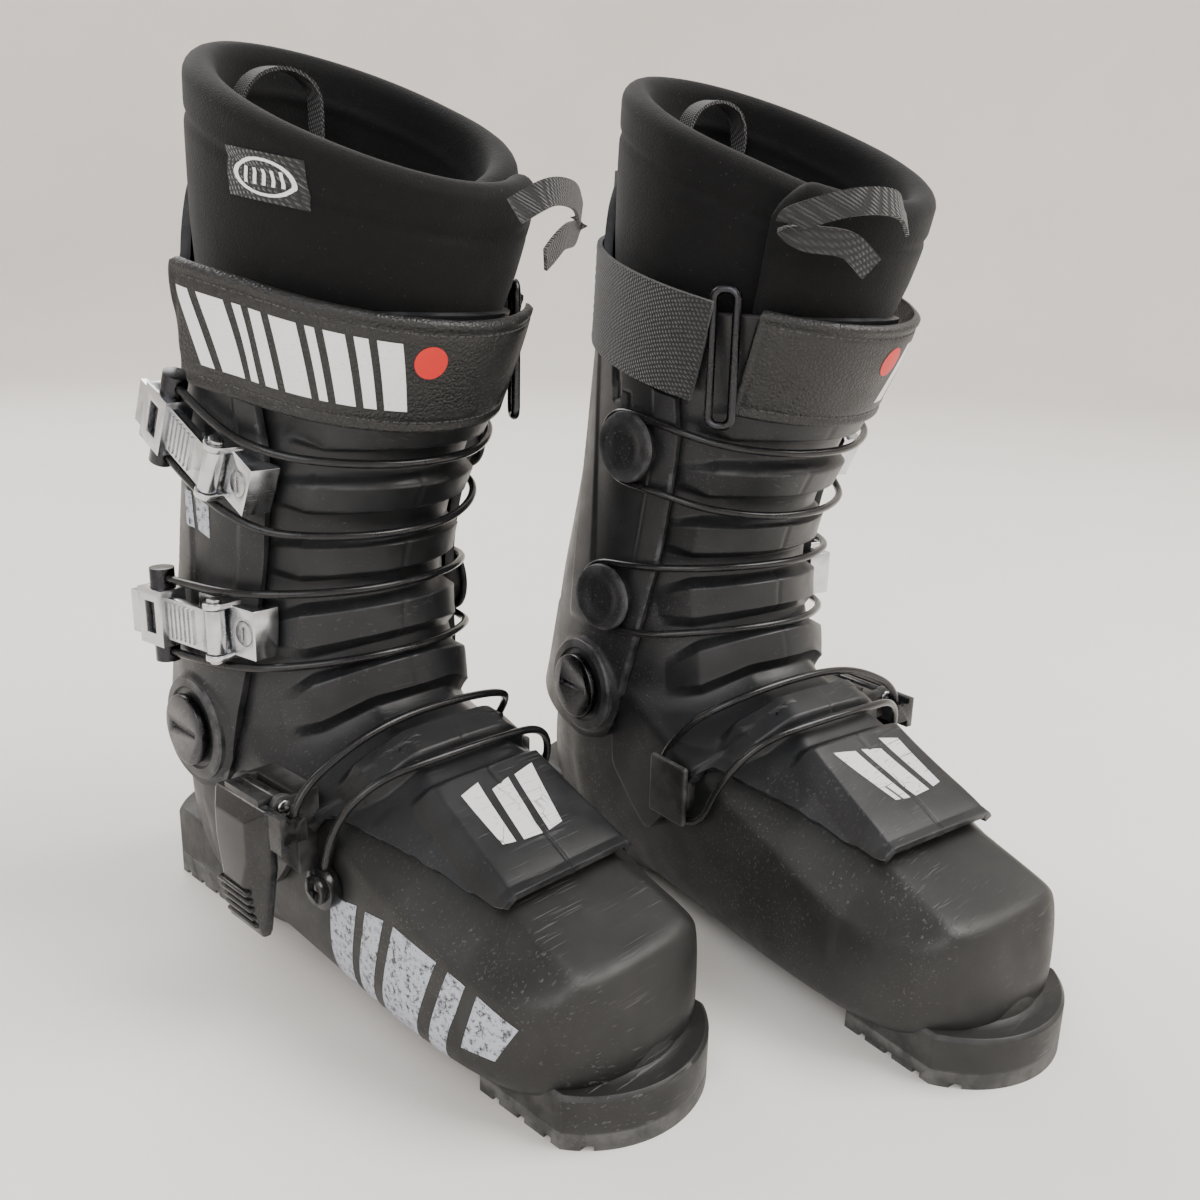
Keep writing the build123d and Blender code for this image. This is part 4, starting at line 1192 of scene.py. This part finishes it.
# Middle lines of the two loops: one stands up inside the back, one hangs out of the front's inner side.
REAR_LOOP = [(-20, 64, 298), (-21, 61, 312), (-15, 58, 322), (-3, 57, 325), (8, 58, 319), (11, 61, 302)]
FRONT_LOOP = [
    (6, -52, 277), (17, -56, 283), (31, -52, 283), (43, -43, 279), (47, -39, 276), (42, -42, 272),
    (30, -49, 270), (20, -51, 263),
]


def ribbon(name, side, path, across, width=8.5, thick=1.2, steps=70):
    """Webbing of some width along a line; across is the direction of its width at each end."""
    path = np.array(path, float)
    keys = np.arange(len(path), dtype=float)
    line = smooth_table(np.column_stack([keys, path]))(np.linspace(0, keys[-1], steps))
    tangent = np.gradient(line, axis=0)
    tangent /= np.linalg.norm(tangent, axis=1, keepdims=True)
    share = np.linspace(0, 1, steps)[:, None]
    wide = np.array(across[0]) * (1 - share) + np.array(across[1]) * share
    wide = wide - tangent * np.sum(wide * tangent, axis=1, keepdims=True)
    wide /= np.linalg.norm(wide, axis=1, keepdims=True)
    out = np.cross(tangent, wide)
    v = np.linspace(-0.5, 0.5, 9)[:, None, None]
    outer = line[None] + wide[None] * v * width + out[None] * thick / 2
    inner = line[None] + wide[None] * v * width - out[None] * thick / 2
    return closed_slab(name, side, outer, inner, M["webbing"], "cuff")


def build_loops(side):
    rear = ribbon("rear_loop", side, REAR_LOOP, ((0, 1, 0.1), (0, 1, 0.1)))
    ribbon("front_loop", side, FRONT_LOOP, ((0.1, 0.3, 1), (0.3, -0.2, 1)))
    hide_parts(f"{side}_pull_loops")


# ---- cables ----

ANKLE_ROUTE = [
    (-58.5, 64.7, 149.3), (-55.2, 38, 149.4), (-47.5, 22.5, 149.8), (-36, 10, 150.2), (-14, 0.5, 150),
    (14, 0.5, 150.5), (36, 11, 150), (49.5, 27, 148.8), (55, 57, 147.2), (55.6, 57, 120.8),
    (50.6, 26, 121.4), (37.5, 11, 124.2), (14, -2.4, 126.2), (-14, -2.4, 126), (-38, 12, 123.6),
    (-50, 27, 122), (-56, 45, 121.7), (-58.5, 64.7, 121.7),
]
TOP_ROUTE = [
    (-56.4, 48.8, 219.6), (-56.9, 25, 208), (-49, 5.5, 201), (-36, -5.5, 198), (-14, -16.5, 196.3),
    (14, -16.5, 196.6), (36, -5, 199), (50, 10.5, 204.5), (55, 45.5, 211.5), (54.3, 45.5, 182.8),
    (49.5, 19.5, 180), (37, 5.5, 174.5), (14, -5.2, 171), (-14, -5.2, 170.4), (-37, 5.5, 171.4),
    (-49, 17, 173.8), (-56.5, 38, 183.4), (-56.2, 60.9, 194.8),
]
INSTEP_ROUTE = [
    (-60.2, -16.2, 78), (-59.6, -16.6, 90.5), (-36, -17, 103), (-14, -18, 108.2), (14, -18, 108),
    (36, -14, 103.4), (47, -3, 93.5), (48.8, 11.4, 74), (48.8, 11.2, 53.6), (49, -14, 53.4),
    (50.5, -25, 77), (38.5, -33, 94), (14, -37.6, 98.2), (-14, -37.6, 98.4), (-38.5, -31.5, 94.6),
    (-50.8, -23.5, 78), (-50.1, -19.3, 59.9),
]


def cable(side, name, route):
    """Coated wire rope along a smooth line through the route."""
    curve = bpy.data.curves.new(f"{side}_{name}_line", "CURVE")
    curve.dimensions = "3D"
    spline = curve.splines.new("NURBS")
    spline.points.add(len(route) - 1)
    for point, place in zip(spline.points, route):
        point.co = (*(SIDES[side] @ Vector(place)), 1.0)
    spline.order_u = 3
    spline.use_endpoint_u = True
    spline.resolution_u = 8
    curve.bevel_depth = CABLE_R * MM
    curve.bevel_resolution = 5
    curve.use_fill_caps = True
    line = bpy.data.objects.new(f"{side}_{name}_line", curve)
    bpy.context.scene.collection.objects.link(line)
    bpy.context.view_layer.update()
    mesh = bpy.data.meshes.new_from_object(line.evaluated_get(bpy.context.evaluated_depsgraph_get()))
    bpy.data.objects.remove(line)
    mesh.materials.clear()
    mesh.materials.append(M["cable"])
    mesh.polygons.foreach_set("use_smooth", [True] * len(mesh.polygons))
    obj = bpy.data.objects.new(f"{side}_{name}_rope", mesh)
    bpy.context.scene.collection.objects.link(obj)
    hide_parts(f"{side}_{name}_cable")
    return obj


# Each cable's route, the body that it lies on, and where it begins and ends at its lever.
CABLES = [
    ("ankle", ANKLE_ROUTE, "cuff", (-50, 20, 149.3), (-58, 40, 149.3)),
    ("top", TOP_ROUTE, "cuff", (-50, 20, 219.6), (-58, 40, 219.6)),
    ("instep", INSTEP_ROUTE, "shell", (-40, -16, 101), (-59, -16, 91)),
]


def build_cables(side):
    for name, route, body, start, end in CABLES:
        start, end = (tuple(SIDES[side] @ Vector(place)) for place in (start, end))
        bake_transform(cable(side, name, route))


# ---- printed marks ----

# Shapes are four corners each. On the toe's outer side they are (Y, Z), on the lip's plate (X, Y).
TOE_SHAPES = [
    [(-18, 50), (-34, 53), (-26, 14), (-14, 15)],
    [(-39, 53), (-49, 54), (-38, 13), (-30, 14)],
    [(-54, 54), (-74, 50), (-60, 12), (-43, 13)],
    [(-79, 49), (-86, 47), (-74, 12), (-66, 12)],
    [(-91, 46), (-106, 41), (-98, 26), (-84, 24)],
]
PLATE_SHAPES = [
    [(-17, -52), (-8, -50), (-12, -74), (-17, -73)],
    [(-5, -54), (4, -52), (-1, -75), (-9, -74.5)],
    [(7, -52), (17, -50), (9, -74), (2, -75)],
]
CUFF_SHAPES = [[(44, 178), (54, 180), (52, 168), (45, 166)], [(57, 181), (62, 182), (60, 169), (55, 168)]]


def printed(name, side, target, corners, direction, material, body, steps=16, reach=40.0, lift=0.13):
    """Thin printed shapes laid on a piece along a direction of the boot's frame."""
    mesh = target.data
    tree = BVHTree.FromPolygons([v.co for v in mesh.vertices], [p.vertices[:] for p in mesh.polygons])
    matrix = SIDES[side]
    toward = (matrix.to_3x3() @ Vector(direction)).normalized()
    points, faces = [], []
    for quad in corners:
        start, grid = len(points), []
        for j in range(steps + 1):
            for i in range(steps + 1):
                a, b = i / steps, j / steps
                low = Vector(quad[0]).lerp(Vector(quad[1]), a)
                high = Vector(quad[3]).lerp(Vector(quad[2]), a)
                origin = matrix @ low.lerp(high, b) - toward * reach * MM
                hit, normal, _, _ = tree.ray_cast(origin, toward)
                if hit is None:
                    grid.append(None)
                    continue
                if normal.dot(toward) > 0:
                    normal = -normal
                grid.append(tuple(hit + normal * lift * MM))
        if None in grid:
            print("a printed shape misses its piece", name)
            continue
        points += grid
        grid_quads(faces, start, steps)
    return piece(name, side, points, faces, material, body, placed=True)


def print_boot(side, shell, tongue, cuff):
    """Worn bars on the toe, on the lip and beside the ankle buckle; the toe's and the cuff's bars are the
    white ink painted darker and bluer as painted shade.
    """
    side_shapes = [[(-47, y, z) for y, z in quad] for quad in TOE_SHAPES]
    printed("toe_print", side, shell, side_shapes, (1, 0, -0.35), M["rubbed"], "shell")
    top_shapes = [[(x, y, 75) for x, y in quad] for quad in PLATE_SHAPES]
    printed("lip_print", side, tongue, top_shapes, (0, 0, -1), M["lip"], "shell")
    cuff_shapes = [[(-50, y, z) for y, z in quad] for quad in CUFF_SHAPES]
    printed("cuff_print", side, cuff, cuff_shapes, (1, 0, 0), M["rubbed"], "cuff")


# ---- instep lever's cover ----

COVER_OUTLINE = [(-16, 1), (16, 1), (17, -14), (12, -47), (-10, -47), (-16, -20)]
COVER_TOP = [(-9, -4), (10, -4), (10, -15), (7, -28), (-5, -28), (-9, -18)]
INSTEP_PIN = (-59.0, 4.0, 85.0)


def lever_cover(side):
    """Glossy moulded cover with slanted faces, over grip bars."""
    x, y, z = INSTEP_PIN
    rings = [(x - 4.8, COVER_OUTLINE, 1.03), (x - 8.0, COVER_OUTLINE, 1.03), (x - 12.2, COVER_TOP, 1.0)]
    points, faces = [], []
    for across, outline, scale in rings:
        points += [(across, y + a * scale, z + b * scale) for a, b in outline]
    count = len(COVER_OUTLINE)
    for r in range(2):
        for i in range(count):
            j = (i + 1) % count
            faces.append((r * count + i, r * count + j, (r + 1) * count + j, (r + 1) * count + i))
    faces += [tuple(range(count))[::-1], tuple(range(2 * count, 3 * count))]
    for step in range(5):
        low = z - 45 + 3.3 * step
        face = x - 8.2 - 0.22 * (low - z + 47)
        box, quads = box_mesh(face - 1.5, face + 1.5, y - 8.5, y + 10.5, low, low + 1.7)
        faces += [tuple(i + len(points) for i in quad) for quad in quads]
        points += box
    obj = piece("lever_cover", side, points, faces, M["gloss"], None)
    fix_normals(obj)
    modify(obj, "BEVEL", width=0.8 * MM, segments=3, limit_method="ANGLE", angle_limit=math.radians(20))
    apply_modifiers(obj)
    obj.data.set_sharp_from_angle(angle=math.radians(45))
    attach(obj, f"{side}_instep_lever")


# ---- patch on the liner ----

# Middle of the patch (Y, Z), half its size, and the slope of its length.
PATCH_X, PATCH_Y, PATCH_Z = -52, -4.0, 284.5
PATCH_HALF = (16.0, 7.0)
PATCH_SLOPE = 0.16
# Half axes of the oval, their share at its inner edge, and its stripes' half size and spacing.
OVAL_HALF, OVAL_INNER = (12.5, 5.4), 0.84
STRIPE_HALF, STRIPE_SPACE = (0.7, 2.4), 3.6


def liner_patch(side, collar):
    """Woven patch with a striped oval, on the collar's outer side."""

    def at(along, up):
        return PATCH_X, PATCH_Y + along, PATCH_Z + up + PATCH_SLOPE * along

    def rectangle(middle, half, height):
        return [at(middle + along * half, up * height) for along, up in ((1, -1), (-1, -1), (-1, 1), (1, 1))]

    toward = (1, 0.35, 0)
    quad = rectangle(0, *PATCH_HALF)
    printed("liner_patch", side, collar, [quad], toward, M["webbing"], "cuff", lift=0.35)
    shapes = []
    count = 22
    for i in range(count):
        a, b = 2 * math.pi * i / count, 2 * math.pi * (i + 1) / count
        corners = ((a, 1.0), (b, 1.0), (b, OVAL_INNER), (a, OVAL_INNER))
        shapes.append([at(-OVAL_HALF[0] * scale * math.cos(angle), OVAL_HALF[1] * scale * math.sin(angle))
                       for angle, scale in corners])
    shapes += [rectangle(STRIPE_SPACE * i, *STRIPE_HALF) for i in range(-2, 3)]
    printed("patch_oval", side, collar, shapes, toward, M["white"], "cuff", steps=3, lift=0.6)


# ---- metalwork kept from the frame ----

COPIES = [
    ("cuff_pivots", "dark", "shell", "pivot_metal", 0.8),
    ("instep_base", "shell", "shell", "base_plastic", 0.8),
    ("instep_pin", "silver", "shell", "screw_steel", 0.3),
    ("instep_anchor", "gloss", "shell", "anchor_metal", 0.5),
    ("instep_lever", "gloss", "instep_lever", "lever_plastic", 1.0),
    ("spoiler", "spine", "cuff", "spine_plastic", 1.0),
    ("cuff_screws", "steel", "cuff", "screw_steel", 0.2),
    ("buckle_pins", "steel", "cuff", "screw_steel", 0.25),
    ("ankle_base", "silver", "cuff", "buckle_silver", 0.5),
    ("top_base", "silver", "cuff", "buckle_silver", 0.5),
    ("ankle_lever", "silver", "ankle_lever", "buckle_silver", 0.5),
    ("top_lever", "silver", "top_lever", "buckle_silver", 0.5),
    ("ankle_barrel", "dark", "ankle_lever", "barrel_black", 0.3),
    ("top_barrel", "dark", "top_lever", "barrel_black", 0.3),
    ("strap_ring", "dark", "cuff", "ring_steel", 0.1),
    ("sole_screws", "steel", "shell", "screw_steel", 0.2),
]

for side in SIDES:
    shell_piece = build_shell(side)
    tongue_piece = build_tongue(side)
    cuff_piece = build_cuff(side)
    collar_piece = build_liner(side)
    print_boot(side, shell_piece, tongue_piece, cuff_piece)
    liner_patch(side, collar_piece)
    lever_cover(side)
    build_strap(side)
    build_webbing(side)
    build_loops(side)
    build_cables(side)
    for name, material, body, slot, width in COPIES:
        cad_copy(name, side, M[material], body, width)

# ---- floor, light and camera ----

FLOOR_RADIUS, CURVE_RADIUS, WALL_TOP = 2.4, 0.9, 3.2


def backdrop():
    """Pale floor that curves up all round."""
    mat, tree, shader, xyz = new_material("paper")
    cloud = ramp(tree, noise(tree, xyz, 3.0, 4.0), 0.3, 0.7)
    tree.links.new(mix(tree, cloud, (0.86, 0.825, 0.78), (0.89, 0.86, 0.82)), shader.inputs["Base Color"])
    shader.inputs["Roughness"].default_value = 0.85
    bump_to(tree, shader, noise(tree, xyz, 180.0, 5.0), 0.12, 0.001)
    profile = [(0.001, 0.0), (FLOOR_RADIUS * 0.6, 0.0), (FLOOR_RADIUS, 0.0)]
    for i in range(1, 13):
        a = math.radians(90 * i / 12)
        profile.append((FLOOR_RADIUS + CURVE_RADIUS * math.sin(a), CURVE_RADIUS - CURVE_RADIUS * math.cos(a)))
    profile.append((FLOOR_RADIUS + CURVE_RADIUS, WALL_TOP))
    points, faces = lathe(profile, (0, 0, 0), (0, 0, 1), 96)
    mesh = bpy.data.meshes.new("floor")
    mesh.from_pydata(points, [], faces[:-1])
    mesh.materials.append(mat)
    mesh.polygons.foreach_set("use_smooth", [True] * len(mesh.polygons))
    floor = bpy.data.objects.new("floor", mesh)
    bpy.context.scene.collection.objects.link(floor)
    fix_normals(floor)


def area_light(name, place, target, size, power, colour):
    data = bpy.data.lights.new(name, "AREA")
    data.shape = "RECTANGLE"
    data.size, data.size_y = size
    data.energy = power
    data.color = colour
    light = bpy.data.objects.new(name, data)
    light.location = place
    light.rotation_euler = (Vector(target) - Vector(place)).to_track_quat("-Z", "Y").to_euler()
    bpy.context.scene.collection.objects.link(light)


# Camera's place and aim in the right boot's frame, its lens and its roll in degrees.
EYE, AIM = (-244.62, -328.72, 261.55), (78.29, -23.67, 133.87)
LENS, ROLL = 34.83, 1.48


def camera():
    data = bpy.data.cameras.new("camera")
    data.sensor_width = 36.0
    data.lens = LENS
    data.clip_start = 0.01
    cam = bpy.data.objects.new("camera", data)
    eye, target = (SIDES["right"] @ Vector(place) for place in (EYE, AIM))
    look = (target - eye).to_track_quat("-Z", "Y").to_matrix().to_4x4()
    cam.matrix_world = Matrix.Translation(eye) @ look @ Matrix.Rotation(math.radians(ROLL), 4, "Z")
    bpy.context.scene.collection.objects.link(cam)
    bpy.context.scene.camera = cam


backdrop()
area_light("key", (0.9, -1.1, 1.9), (0, 0, 0.12), (1.4, 1.4), 62, (1.0, 0.97, 0.93))
area_light("fill", (-1.6, -0.9, 1.3), (0, 0, 0.15), (1.6, 1.6), 26, (0.93, 0.95, 1.0))
area_light("back", (0.2, 1.7, 1.7), (0, 0, 0.2), (1.8, 1.0), 36, (1.0, 0.98, 0.96))
world = bpy.data.worlds.new("world")
world.use_nodes = True
world.node_tree.nodes["Background"].inputs["Color"].default_value = (0.84, 0.83, 0.84, 1)
world.node_tree.nodes["Background"].inputs["Strength"].default_value = 0.75
bpy.context.scene.world = world
camera()
